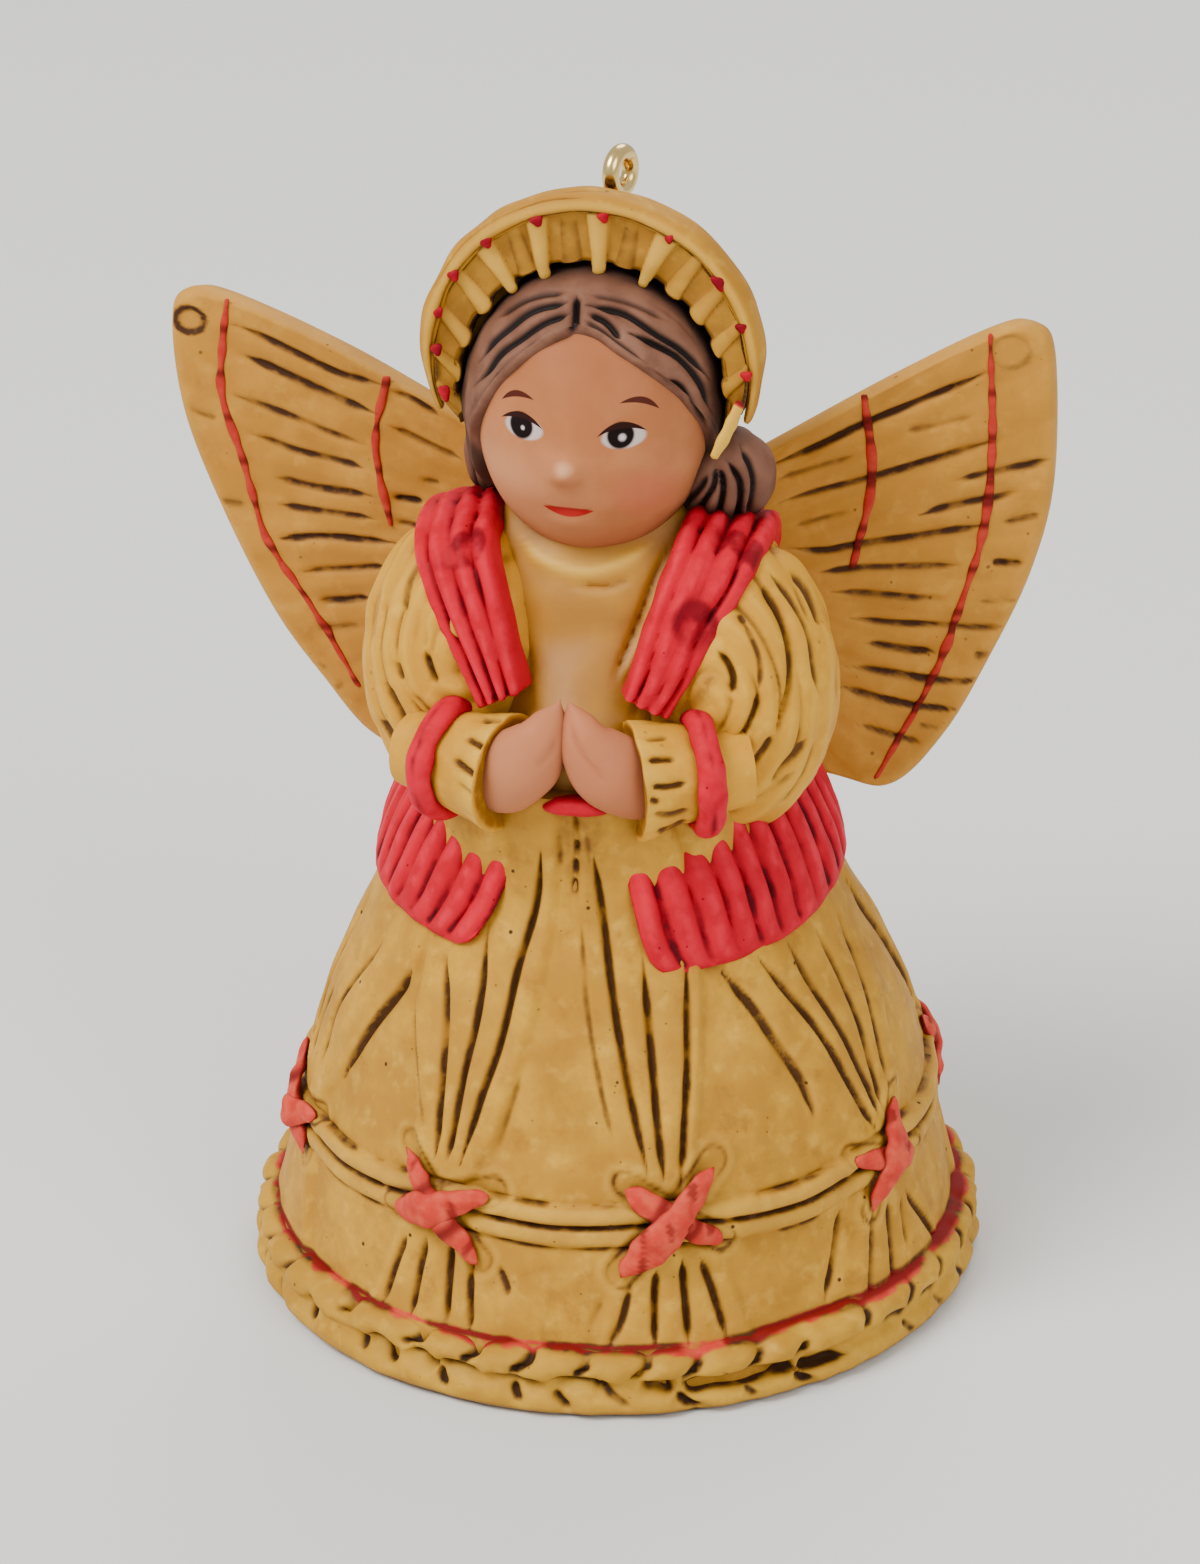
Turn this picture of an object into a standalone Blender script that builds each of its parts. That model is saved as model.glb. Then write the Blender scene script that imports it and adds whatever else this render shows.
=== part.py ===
"""Miniature angel ornament: a figure cast in one, standing on the braided hem of its bell skirt,
with a brass wire eye in the top of its bonnet to hang it by.

+Z is up and the figure looks toward -Y. Angles round the skirt start at the front and grow toward +X.
"""
from math import cos, pi, radians, sin

import bmesh
import bpy
import numpy as np
from mathutils import Matrix, Vector

# Driving dimensions, metres.
FIGURE_HEIGHT = 0.0547       # underside to the top of the bonnet's rim
BASE_DIAMETER = 0.0355       # over the hem braid
WING_THICKNESS = 0.0016
WIRE_DIAMETER = 0.0008
EYE_DIAMETER = 0.0026        # outside of the wire loop
SHANK_LENGTH = 0.0040        # wire below the crown's surface
SHANK_SHARE = 0.98           # the shank's thickness as a share of the loop's
SOCKET_CLEARANCE = 0.0003    # round the shank and under its end

# The carving is a share of the figure's height: one UNIT is a millimetre at the real height.
UNIT = FIGURE_HEIGHT / 54.7
BASE_RADIUS = BASE_DIAMETER / 2 / UNIT
WING_DEPTH = WING_THICKNESS / UNIT

# Finishes: colour, roughness and metallic.
STRAW = ((0.6, 0.41, 0.16, 1), 0.55, 0.0)
BRASS = ((0.78, 0.57, 0.2, 1), 0.22, 1.0)

# Skirt, in units: height and the radius there, counted from the braid's outside.
SKIRT_PROFILE = ((1.6, 0.95), (7.6, 2.2), (11.4, 2.95), (14.6, 4.1), (18.2, 5.9), (22.5, 8.1),
                 (28.5, 10.6))
SKIRT_LEAN = ((20.0, 0.0), (22.5, 0.6), (28.5, 3.3))  # its upper end reaches forward under the hands
KNOT_ANGLES = (-158.0, -112.0, -66.0, -21.4, 19.6, 67.3, 112.0, 157.0)
KNOT_TILTS = (5.0, -7.0, 6.0, -10.0, 4.0, -6.0, 8.0, -5.0)
KNOT_HEIGHT = 9.05
KNOT_REACH = 2.3             # from a knot's middle to the tip of a limb, each way
KNOT_NOTCH = 1.0
KNOT_TIP = 0.55              # how proud of the skirt the limbs stand
KNOT_MIDDLE = 1.3
KNOT_SINK = -1.2
FAN_STRIPS = 4               # pleats of straw in each fan above and below a knot
FAN_GROOVE = 0.42
FAN_HALF_ANGLE = ((0.0, 10.5), (3.2, 10.0), (8.2, 6.4), (10.9, 6.2), (20.5, 14.5), (27.5, 18.5))
PANEL_COLUMNS = 1            # columns of the smooth panel between two fans
PANEL_GROOVE = 0.25          # how far the panel lies back, as a share of the fan's groove
BELT_ROWS = ((-1.15, 0.0), (-0.6, 0.62), (0.0, 0.22), (0.6, 0.62), (1.15, 0.0))
BELT_HEIGHT = 8.85
BELT_SAG = 0.1

# Foot with the hem braid round it: height and inset of the points up its side, and the slant of a strand.
BRAID_SECTION = ((0.0, 0.45), (0.75, 0.0), (1.45, 0.22), (2.15, 0.0), (3.0, 0.6))
FOOT_TOP = (3.0, 2.6)
BRAID_MIDDLE = 1.45
BRAID_REPEATS = 36
BRAID_PINCH = 0.42
BRAID_SLANT = 2.6

# Jacket skirt, called the peplum, in units. It is open at the front.
PEPLUM_FLUTES = 46
PEPLUM_FLUTE_DEPTH = 0.45
PEPLUM_START = 21.0
PEPLUM_END = 333.5
PEPLUM_SLANT = (8.0, 5.0)    # the front edges stand this many degrees nearer the middle at the waist and the swell
PEPLUM_EDGE = ((21.0, 19.7), (42.0, 19.9), (67.0, 20.5), (81.0, 21.0), (180.0, 22.0), (295.0, 20.9), (333.5, 20.3))
PEPLUM_WAIST = (5.8, 30.0)   # radius and height where it goes into the body
PEPLUM_SWELL = (10.2, 24.4)
PEPLUM_RADIUS = 11.4
PEPLUM_CORE = 5.5
PEPLUM_LIFT = 0.4

# Body: height, half width, half depth and middle (toward +Y) of each oval section.
TORSO_SECTIONS = ((23.0, 7.8, 7.6, 0.0), (27.0, 7.5, 6.9, 0.1), (31.0, 7.3, 6.4, 0.3), (34.5, 7.7, 6.1, 0.3),
                  (36.5, 7.8, 5.8, 0.1), (38.0, 6.6, 5.2, -0.1), (39.6, 4.9, 4.0, -0.3), (41.2, 2.9, 2.7, -0.5))
TORSO_COLUMNS = 16
CHEST_FILL_CENTRE = (0.2, -5.4, 29.6)
CHEST_FILL_RADII = (5.0, 4.4, 4.4)
CHEST_FILL_CUTS = (12, 6)    # columns and rows of facets

# Jacket bands over the shoulders: middle line, half width and outward direction at each station.
BAND_LINE = ((5.5, 5.6, 35.0, 1.9, (0.1, 1.0, 0.25)), (6.1, 2.0, 38.0, 2.0, (0.2, 0.45, 1.0)),
             (6.4, -2.2, 39.4, 2.05, (0.25, -0.3, 1.0)), (6.1, -5.9, 38.7, 1.95, (0.25, -0.9, 0.7)),
             (5.2, -7.5, 36.4, 1.75, (0.2, -1.0, 0.15)), (3.35, -8.9, 32.4, 1.25, (0.2, -1.0, 0.1)))
BAND_RIBS = 3
BAND_RIB_DEPTH = 0.35
BAND_SINK = 2.2

# Puffed sleeves, coiled like straw round a point at the front of each.
LEFT_SLEEVE = (-6.0, -3.1, 32.0)
RIGHT_SLEEVE = (6.5, -3.3, 31.6)
SLEEVE_RADII = (4.9, 5.3, 7.2)
SLEEVE_COILS = 4
SLEEVE_STEP = 0.55
SLEEVE_COLUMNS = 14
SLEEVE_TURN = 18.0           # coils face this far outward, in degrees

# Cuffs and hands.
CUFF_BACK = (7.4, -7.0, 29.0)
CUFF_BAND = (5.8, -8.6, 29.0)
CUFF_MOUTH = (2.9, -9.8, 28.7)
CUFF_RADIUS = 2.2
CUFF_MOUTH_RADIUS = 3.15
CUFF_RIBS = 7
CUFF_RIB_DEPTH = 0.3
CUFF_RECESS = 0.12           # share of the cuff's length that its mouth is hollowed
CUFF_BACK_SHARE = 0.8        # radius inside the sleeve, as a share of the cuff's
CUFF_BELL = 0.55             # where along the cuff its radius is half way to the mouth's
CUFF_HOLLOW = 0.7            # radius of the hollow, as a share of the mouth's
CUFF_BAND_THICKNESS = 0.62
CUFF_BAND_WIDTH = 0.775      # from the cord's middle to its edge, along the cuff
CUFF_BAND_PROUD = 0.15
CUFF_BAND_CUTS = (12, 5)     # columns and sides of facets
HAND_LINE = ((4.2, -9.3, 28.8, 1.45), (3.0, -10.4, 29.1, 1.75), (2.1, -11.0, 30.2, 1.8),
             (1.15, -11.0, 31.8, 1.35), (0.55, -10.7, 33.0, 0.7))
HAND_FLATNESS = 0.8
HAND_COLUMNS = 8

# Head, hair and bonnet.
HEAD_CENTRE = (0.0, -2.4, 44.0)
HEAD_RADII = (5.35, 5.2, 6.35)
HEAD_CUTS = (16, 9)          # columns and rows of facets
NOSE_CENTRE = (-0.5, -7.35, 43.0)
NOSE_RADII = (0.6, 0.7, 0.75)
NOSE_CUTS = (8, 4)
HAIR_LIFT = 0.55             # over the head at the hairline
HAIR_FULLNESS = 0.5          # how much further it stands off at the back edge
HAIR_DEPTH = -1.6            # its inner side is this far under the head's surface
HAIR_STRANDS = 4
HAIR_STEPS = 5
HAIR_GROOVE = 0.35
HAIR_FRONT = (2.0, 68.0)     # degrees round the head, at the parting and at the cheek
HAIR_BACK = (10.0, 130.0)
HAIR_TOP = (53.0, 87.0)      # degrees up the head, at the hairline and at the back edge
HAIR_BOTTOM = (-20.0, -30.0)
HAIR_SWEEP = 0.8             # powers that bend the strands out and then down
HAIR_FALL = 1.35
LEFT_BUN = (-4.4, 0.1, 41.0)
RIGHT_BUN = (5.9, -1.5, 41.0)
BUN_RADII = (2.35, 2.2, 2.2)
BUN_RIBS = 6
BUN_ROWS = 5
BUN_GROOVE = -0.13           # as a share of the bun's radii
BUN_TURN = 35.0
BONNET_CENTRE = (0.0, -2.7, 46.7)
BONNET_RADIUS = 8.0          # to the outside of the rim
RIM_THICKNESS = 1.2
RIM_DEPTH = 2.1              # from its front to its back
RIM_DROP = 21.0              # the rim ends this far below its middle, in degrees
RIM_COLUMNS = 22
RIM_SIDES = 6
RIM_END = 0.35               # thickness of the rim's ends as a share of the whole
RIM_TAPER = 0.16             # what the rim gains from one column to the next
FLANGE_WIDTH = 1.9           # from the rim's outside to the opening
FLANGE_DROP = 1.4            # the opening's middle is this far below the rim's
FLANGE_END = 6.0             # it stops this far short of the rim's ends, in degrees
FLANGE_RIBS = 14
FLANGE_RIB_DEPTH = 0.3
FLANGE_INSET = 0.17
FLANGE_FRONT = 0.75
FLANGE_RECESS = 0.2
FLANGE_BACK = -2.0
CROWN_INSET = 1.3            # from the rim's outside in to the crown's
CROWN_FRONT = -1.2           # the crown's flat front, behind the rim
CROWN_DEPTH = 5.6
CROWN_END = 80.0             # the crown closes with a small flat this far round, in degrees
CROWN_COILS = 3
CROWN_STEP = 0.25
CROWN_COLUMNS = 16

# Wings: distance out along the wing and height of the outline's points, from the upper root to the lower.
WING_ROOT = (2.0, 5.6)
WING_FOCUS = (-1.0, 33.5)
WING_GROOVE_DEPTH = 0.3
WING_ROWS = ((0.2, 1.0, 0), (0.94, 1.0, 1), (1.0, 0.61, 1))  # place from the focus, thickness and groove
LEFT_WING_SWEEP = 3.0
RIGHT_WING_SWEEP = 12.0
LEFT_WING = ((0.0, 38.0), (5.7, 40.9), (12.0, 43.9), (17.6, 46.0), (19.6, 46.1), (20.4, 44.6), (20.0, 40.0),
             (18.2, 34.8), (15.9, 29.9), (13.6, 26.6), (11.0, 23.6), (7.5, 22.8), (0.0, 25.0))
RIGHT_WING = ((0.0, 37.0), (5.1, 39.8), (11.0, 43.0), (15.6, 45.2), (17.4, 45.4), (18.3, 43.8), (18.4, 37.5),
              (17.4, 32.9), (15.5, 28.5), (13.4, 24.6), (10.8, 21.9), (7.8, 22.5), (0.0, 25.0))

# Facets that meet within this angle, in radians, are one facet.
FLAT_ANGLE = 0.028

# Wire eye in the crown.
EYE_PLACE = (0.75, 0.9)
EYE_TURN = 68.0              # the loop's face is turned this far from the front, in degrees
LOOP_SEGMENTS = 24
WIRE_SIDES = 8


def clear_scene():
    for old in list(bpy.data.objects):
        bpy.data.objects.remove(old)


def table(points, value):
    """Value of a two-column table between its points."""
    keys, values = zip(*points)
    return float(np.interp(value, keys, values))


def between(pair, share):
    """Value at a share of the way from the first of a pair to the second."""
    return pair[0] + (pair[1] - pair[0]) * share


def polar(angle, radius, height):
    """Point on a ring round the upright axis; the angle is in degrees from the front."""
    return Vector((radius * sin(radians(angle)), -radius * cos(radians(angle)), height))


def smooth_line(points, steps):
    """Points on a curve through the given ones, with the given number of steps to each stretch."""
    knots = [Vector(point) for point in points]
    line = []
    for index in range(len(knots) - 1):
        before = knots[max(index - 1, 0)]
        start, end = knots[index], knots[index + 1]
        after = knots[min(index + 2, len(knots) - 1)]
        for step in range(steps):
            t = step / steps
            pull = (2 * before - 5 * start + 4 * end - after) * t * t
            swing = (3 * start - before - 3 * end + after) * t * t * t
            line.append((2 * start + (end - before) * t + pull + swing) / 2)
    line.append(knots[-1])
    return line


def add_body(name, points, faces):
    """Closed body from points in units, put into the scene at its real size."""
    mesh = bpy.data.meshes.new(name)
    mesh.from_pydata([Vector(point) * UNIT for point in points], [], faces)
    body = bpy.data.objects.new(name, mesh)
    bpy.context.scene.collection.objects.link(body)
    shell = bmesh.new()
    shell.from_mesh(mesh)
    bmesh.ops.recalc_face_normals(shell, faces=shell.faces)
    shell.to_mesh(mesh)
    shell.free()
    return body


def loft(name, rings, closed=False):
    """Body through rings of equal length; closed joins the last ring to the first."""
    count = len(rings[0])
    points = [point for ring in rings for point in ring]
    faces = []
    spans = len(rings) if closed else len(rings) - 1
    for row in range(spans):
        low = row * count
        high = (row + 1) % len(rings) * count
        for column in range(count):
            beside = (column + 1) % count
            faces.append((low + column, low + beside, high + beside, high + column))
    if not closed:
        faces.append(tuple(range(count)))
        faces.append(tuple(range(len(points) - count, len(points))))
    return add_body(name, points, faces)


def slab(name, outer, inner):
    """Body between two sheets of points with the same rows and columns."""
    rows, columns = len(outer), len(outer[0])
    points = [point for sheet in (outer, inner) for row in sheet for point in row]
    shift = rows * columns
    faces = []
    for row in range(rows - 1):
        for column in range(columns - 1):
            corner = row * columns + column
            quad = (corner, corner + 1, corner + columns + 1, corner + columns)
            faces.append(quad)
            faces.append(tuple(shift + place for place in reversed(quad)))
    border = list(range(columns))
    border += [row * columns + columns - 1 for row in range(1, rows)]
    border += [(rows - 1) * columns + column for column in range(columns - 2, -1, -1)]
    border += [row * columns for row in range(rows - 2, 0, -1)]
    for index, place in enumerate(border):
        following = border[(index + 1) % len(border)]
        faces.append((following, place, shift + place, shift + following))
    return add_body(name, points, faces)


def ovoid(name, centre, radii, cuts, turn=None, lift=None):
    """Ellipsoid whose poles lie along its own Y; cuts are its columns and rows, and lift(row, column)
    swells the surface by a share."""
    turn = turn or Matrix.Identity(3)
    columns, rows = cuts
    rings = []
    for row in range(1, rows):
        latitude = pi * row / rows
        ring = []
        for column in range(columns):
            longitude = 2 * pi * column / columns
            swell = 1 + (lift(row, column) if lift else 0)
            point = Vector((radii[0] * sin(latitude) * cos(longitude) * swell,
                            -radii[1] * cos(latitude) * swell,
                            radii[2] * sin(latitude) * sin(longitude) * swell))
            ring.append(Vector(centre) + turn @ point)
        rings.append(ring)
    points = [point for ring in rings for point in ring]
    front = len(points)
    points.append(Vector(centre) + turn @ Vector((0, -radii[1], 0)))
    points.append(Vector(centre) + turn @ Vector((0, radii[1], 0)))
    faces = []
    for column in range(columns):
        beside = (column + 1) % columns
        faces.append((front, column, beside))
        faces.append((front + 1, front - columns + beside, front - columns + column))
        for row in range(rows - 2):
            low = row * columns
            faces.append((low + column, low + columns + column, low + columns + beside, low + beside))
    return add_body(name, points, faces)


def frame_round(direction):
    """Two directions square to the given one and to each other."""
    along = Vector(direction).normalized()
    side = along.cross(Vector((0, 0, 1)))
    if side.length < 0.01:
        side = Vector((1, 0, 0))
    side.normalize()
    return side, side.cross(along)


def skirt_radius(height):
    return BASE_RADIUS - table(SKIRT_PROFILE, height)


def skirt_columns(height):
    """Angle and groove share of every column of the skirt at a height."""
    half = table(FAN_HALF_ANGLE, height)
    columns = []
    for index, middle in enumerate(KNOT_ANGLES):
        marks = 2 * FAN_STRIPS
        for mark in range(marks + 1):
            share = mark / marks * 2 - 1
            columns.append((middle + half * share, 1.0 if mark % 2 == 0 else 0.0))
        following = KNOT_ANGLES[(index + 1) % len(KNOT_ANGLES)]
        if index == len(KNOT_ANGLES) - 1:
            following += 360
        gap = following - middle - 2 * half
        for column in range(1, PANEL_COLUMNS + 1):
            columns.append((middle + half + gap * column / (PANEL_COLUMNS + 1), PANEL_GROOVE))
    return columns


def knot_distance(angle):
    """Share of the way from the nearest knot to the middle of a panel."""
    nearest = min(abs((angle - knot + 180) % 360 - 180) for knot in KNOT_ANGLES)
    return min(nearest * len(KNOT_ANGLES) / 180, 1.0)


def make_skirt():
    rings = []
    heights = [height for height, inset in SKIRT_PROFILE]
    for height in heights:
        lean = Vector((0, -table(SKIRT_LEAN, height), 0))
        rings.append([polar(angle, skirt_radius(height) - FAN_GROOVE * groove, height) + lean
                      for angle, groove in skirt_columns(height)])
        if height < BELT_HEIGHT < heights[heights.index(height) + 1]:
            for offset, proud in BELT_ROWS:
                level = BELT_HEIGHT + offset
                rings.append([polar(angle, skirt_radius(level) + proud,
                                    level - BELT_SAG * knot_distance(angle))
                              for angle, groove in skirt_columns(level)])
    return loft("skirt", rings)


def make_foot():
    """Flat foot with the strands of the hem braid round its side."""
    rings = []
    for height, inset in BRAID_SECTION:
        slant = BRAID_SLANT * abs(height - BRAID_MIDDLE)
        ring = []
        for column in range(2 * BRAID_REPEATS):
            pinch = BRAID_PINCH if column % 2 else 0
            angle = 180 * column / BRAID_REPEATS
            ring.append(polar(angle + slant, BASE_RADIUS - inset - pinch, height))
        rings.append(ring)
    height, inset = FOOT_TOP
    rings.append([polar(180 * column / BRAID_REPEATS, BASE_RADIUS - inset, height)
                  for column in range(2 * BRAID_REPEATS)])
    return loft("foot", rings)


def make_knot(angle, tilt):
    """Crossed stitch: a star with four limbs, highest in the middle."""
    outward = polar(angle, 1, 0)
    across = Vector((-outward.y, outward.x, 0))
    turn = Matrix.Rotation(radians(tilt), 2)
    seat = outward * skirt_radius(KNOT_HEIGHT)
    seat.z = KNOT_HEIGHT
    outline = []
    for side, rise in ((1, 1), (-1, 1), (-1, -1), (1, -1)):
        outline.append((Vector((side * KNOT_REACH, rise * KNOT_REACH)), KNOT_TIP))
        notch = Vector((0, rise * KNOT_NOTCH)) if side * rise > 0 else Vector((side * KNOT_NOTCH, 0))
        outline.append((notch, KNOT_TIP))
    points = []
    for level in (KNOT_SINK, None):
        for corner, proud in outline:
            flat_x, flat_z = turn @ corner
            fall = skirt_radius(KNOT_HEIGHT + flat_z) - skirt_radius(KNOT_HEIGHT)
            curve = fall - flat_x * flat_x / (2 * skirt_radius(KNOT_HEIGHT))
            depth = curve + (proud if level is None else level)
            points.append(seat + across * flat_x + Vector((0, 0, flat_z)) + outward * depth)
    count = len(outline)
    points.append(seat + outward * KNOT_MIDDLE)
    faces = [tuple(range(count))]
    for index in range(count):
        beside = (index + 1) % count
        faces.append((index, beside, count + beside, count + index))
        faces.append((count + index, count + beside, 2 * count))
    return add_body("knot", points, faces)


def make_peplum():
    rings = []
    steps = 2 * PEPLUM_FLUTES
    for column in range(steps + 1):
        angle = PEPLUM_START + (PEPLUM_END - PEPLUM_START) * column / steps
        edge = table(PEPLUM_EDGE, angle)
        depth = PEPLUM_FLUTE_DEPTH * (column % 2)
        reach = 1 - 2 * column / steps
        rings.append([polar(angle - PEPLUM_SLANT[0] * reach, *PEPLUM_WAIST),
                      polar(angle - PEPLUM_SLANT[1] * reach, PEPLUM_SWELL[0] - depth, PEPLUM_SWELL[1]),
                      polar(angle, PEPLUM_RADIUS - depth, edge),
                      polar(angle, PEPLUM_CORE, edge + PEPLUM_LIFT)])
    return loft("peplum", rings)


def make_torso():
    rings = []
    for height, half_width, half_depth, middle in TORSO_SECTIONS:
        ring = []
        for column in range(TORSO_COLUMNS):
            angle = 2 * pi * column / TORSO_COLUMNS
            ring.append(Vector((half_width * cos(angle), middle + half_depth * sin(angle), height)))
        rings.append(ring)
    return loft("torso", rings)


def make_band(side):
    line = [(side * x, y, z, half, (side * out[0], out[1], out[2])) for x, y, z, half, out in BAND_LINE]
    centres = [Vector(station[:3]) for station in line]
    outer, inner = [], []
    marks = 2 * BAND_RIBS
    for index, (x, y, z, half, out) in enumerate(line):
        along = centres[min(index + 1, len(line) - 1)] - centres[max(index - 1, 0)]
        normal = Vector(out).normalized()
        across = normal.cross(along).normalized()
        outer.append([])
        inner.append([])
        for mark in range(marks + 1):
            share = mark / marks * 2 - 1
            groove = BAND_RIB_DEPTH if mark % 2 == 0 else 0
            point = centres[index] + across * half * share
            outer[-1].append(point - normal * groove)
            inner[-1].append(point - normal * BAND_SINK)
    return slab("jacket_band", outer, inner)


def make_sleeve(side):
    turn = Matrix.Rotation(radians(side * SLEEVE_TURN), 3, "Z")
    rows = 3 * SLEEVE_COILS

    def coil(row, column):
        return SLEEVE_STEP / SLEEVE_RADII[0] if row % 2 and row < 2 * SLEEVE_COILS + 1 else 0

    centre = LEFT_SLEEVE if side < 0 else RIGHT_SLEEVE
    return ovoid("sleeve", centre, SLEEVE_RADII, (SLEEVE_COLUMNS, rows), turn, coil)


def ribbed_ring(centre, direction, radius, ribs, depth):
    side, up = frame_round(direction)
    ring = []
    for column in range(2 * ribs):
        angle = pi * column / ribs
        reach = radius - depth * (column % 2)
        ring.append(Vector(centre) + side * reach * cos(angle) + up * reach * sin(angle))
    return ring


def make_cuff(side):
    back, band, mouth = (Vector((side * x, y, z)) for x, y, z in (CUFF_BACK, CUFF_BAND, CUFF_MOUTH))
    run = mouth - band
    bell = band + run * CUFF_BELL
    rings = [ribbed_ring(back, run, CUFF_RADIUS * CUFF_BACK_SHARE, CUFF_RIBS, 0),
             ribbed_ring(band, run, CUFF_RADIUS, CUFF_RIBS, CUFF_RIB_DEPTH),
             ribbed_ring(bell, run, (CUFF_RADIUS + CUFF_MOUTH_RADIUS) / 2, CUFF_RIBS, CUFF_RIB_DEPTH),
             ribbed_ring(mouth, run, CUFF_MOUTH_RADIUS, CUFF_RIBS, CUFF_RIB_DEPTH),
             ribbed_ring(mouth - run * CUFF_RECESS, run, CUFF_MOUTH_RADIUS * CUFF_HOLLOW, CUFF_RIBS, 0)]
    return loft("cuff", rings)


def make_cuff_band(side):
    """Red cord round the narrow end of a cuff."""
    band, mouth = (Vector((side * x, y, z)) for x, y, z in (CUFF_BAND, CUFF_MOUTH))
    run = (mouth - band).normalized()
    axis_side, axis_up = frame_round(run)
    rings = []
    columns, sides = CUFF_BAND_CUTS
    for column in range(columns):
        angle = 2 * pi * column / columns
        out = axis_side * cos(angle) + axis_up * sin(angle)
        ring = []
        for corner in range(sides):
            tube = 2 * pi * (corner + 0.5) / sides
            reach = CUFF_RADIUS + CUFF_BAND_PROUD + CUFF_BAND_THICKNESS * cos(tube)
            ring.append(band + out * reach + run * CUFF_BAND_WIDTH * sin(tube))
        rings.append(ring)
    return loft("cuff_band", rings, closed=True)


def make_hand(side):
    rings = []
    stations = [Vector((side * x, y, z)) for x, y, z, radius in HAND_LINE]
    for index, (x, y, z, radius) in enumerate(HAND_LINE):
        along = stations[min(index + 1, len(stations) - 1)] - stations[max(index - 1, 0)]
        across, up = frame_round(along)
        ring = []
        for column in range(HAND_COLUMNS):
            angle = 2 * pi * (column + 0.5) / HAND_COLUMNS
            ring.append(stations[index] + (across * cos(angle) * HAND_FLATNESS + up * sin(angle)) * radius)
        rings.append(ring)
    return loft("hand", rings)


def head_point(longitude, latitude, lift):
    """Point over the head; longitude is from the front toward +X, latitude up from the middle."""
    across = cos(radians(latitude))
    return Vector((HEAD_CENTRE[0] + (HEAD_RADII[0] + lift) * across * sin(radians(longitude)),
                   HEAD_CENTRE[1] - (HEAD_RADII[1] + lift) * across * cos(radians(longitude)),
                   HEAD_CENTRE[2] + (HEAD_RADII[2] + lift) * sin(radians(latitude))))


def make_hair(side):
    """Half of the hair, combed in strands from the parting down to the bun."""
    marks = 2 * HAIR_STRANDS
    outer, inner = [], []
    for row in range(HAIR_STEPS + 1):
        along = row / HAIR_STEPS
        outer.append([])
        inner.append([])
        for mark in range(marks + 1):
            back = mark / marks
            front_edge = between(HAIR_FRONT, along ** HAIR_SWEEP)
            longitude = between((front_edge, between(HAIR_BACK, along)), back)
            top, bottom = between(HAIR_TOP, back), between(HAIR_BOTTOM, back)
            latitude = between((top, bottom), along ** HAIR_FALL)
            lift = HAIR_LIFT + HAIR_FULLNESS * back - HAIR_GROOVE * (mark % 2 == 0)
            outer[-1].append(head_point(side * longitude, latitude, lift))
            inner[-1].append(head_point(side * longitude, latitude, HAIR_DEPTH))
    return slab("hair", outer, inner)


def make_bun(side):
    def strand(row, column):
        return BUN_GROOVE if column % 2 else 0

    centre = LEFT_BUN if side < 0 else RIGHT_BUN
    turn = Matrix.Rotation(radians(side * BUN_TURN), 3, "Z")
    return ovoid("bun", centre, BUN_RADII, (2 * BUN_RIBS, BUN_ROWS), turn, strand)


def rim_point(angle, radius, depth):
    """Point in the bonnet's ring; the angle is from the top toward +X, depth toward the front."""
    return Vector((BONNET_CENTRE[0] + radius * sin(radians(angle)), BONNET_CENTRE[1] - depth,
                   BONNET_CENTRE[2] + radius * cos(radians(angle))))


def make_rim():
    middle = BONNET_RADIUS - RIM_THICKNESS / 2
    rings = []
    reach = 90 + RIM_DROP
    for column in range(RIM_COLUMNS + 1):
        angle = reach * (2 * column / RIM_COLUMNS - 1)
        thick = RIM_THICKNESS / 2 * min(1, RIM_END + RIM_TAPER * min(column, RIM_COLUMNS - column))
        ring = []
        for corner in range(RIM_SIDES):
            tube = 2 * pi * corner / RIM_SIDES
            deep = thick * RIM_DEPTH / RIM_THICKNESS
            ring.append(rim_point(angle, middle + thick * cos(tube), deep * sin(tube)))
        rings.append(ring)
    return loft("bonnet_rim", rings)


def make_flange():
    """Ribbed inner edge of the bonnet, set back behind the rim."""
    wide = BONNET_RADIUS - RIM_THICKNESS / 2 - FLANGE_INSET
    narrow = BONNET_RADIUS - FLANGE_WIDTH
    drop = Vector((0, 0, FLANGE_DROP))
    outer, inner = [], []
    steps = 2 * FLANGE_RIBS
    reach = 90 + RIM_DROP - FLANGE_END
    for column in range(steps + 1):
        angle = reach * (2 * column / steps - 1)
        depth = FLANGE_FRONT - FLANGE_RIB_DEPTH * (column % 2)
        outer.append([rim_point(angle, wide, depth), rim_point(angle, narrow, depth - FLANGE_RECESS) - drop])
        inner.append([rim_point(angle, wide, FLANGE_BACK), rim_point(angle, narrow, FLANGE_BACK) - drop])
    return slab("bonnet_flange", outer, inner)


def crown_radius(y):
    widest = BONNET_RADIUS - CROWN_INSET
    return widest * (1 - ((y - CROWN_FRONT) / CROWN_DEPTH) ** 2) ** 0.5


def make_crown():
    """Back of the bonnet, coiled like straw round its middle."""
    rings = []
    rows = 2 * CROWN_COILS
    for row in range(rows + 1):
        y = CROWN_FRONT + CROWN_DEPTH * sin(radians(CROWN_END * row / rows))
        radius = crown_radius(y) + (CROWN_STEP if row % 2 else 0)
        rings.append([rim_point(360 * column / CROWN_COLUMNS, radius, BONNET_CENTRE[1] - y)
                      for column in range(CROWN_COLUMNS)])
    return loft("crown", rings)


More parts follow.
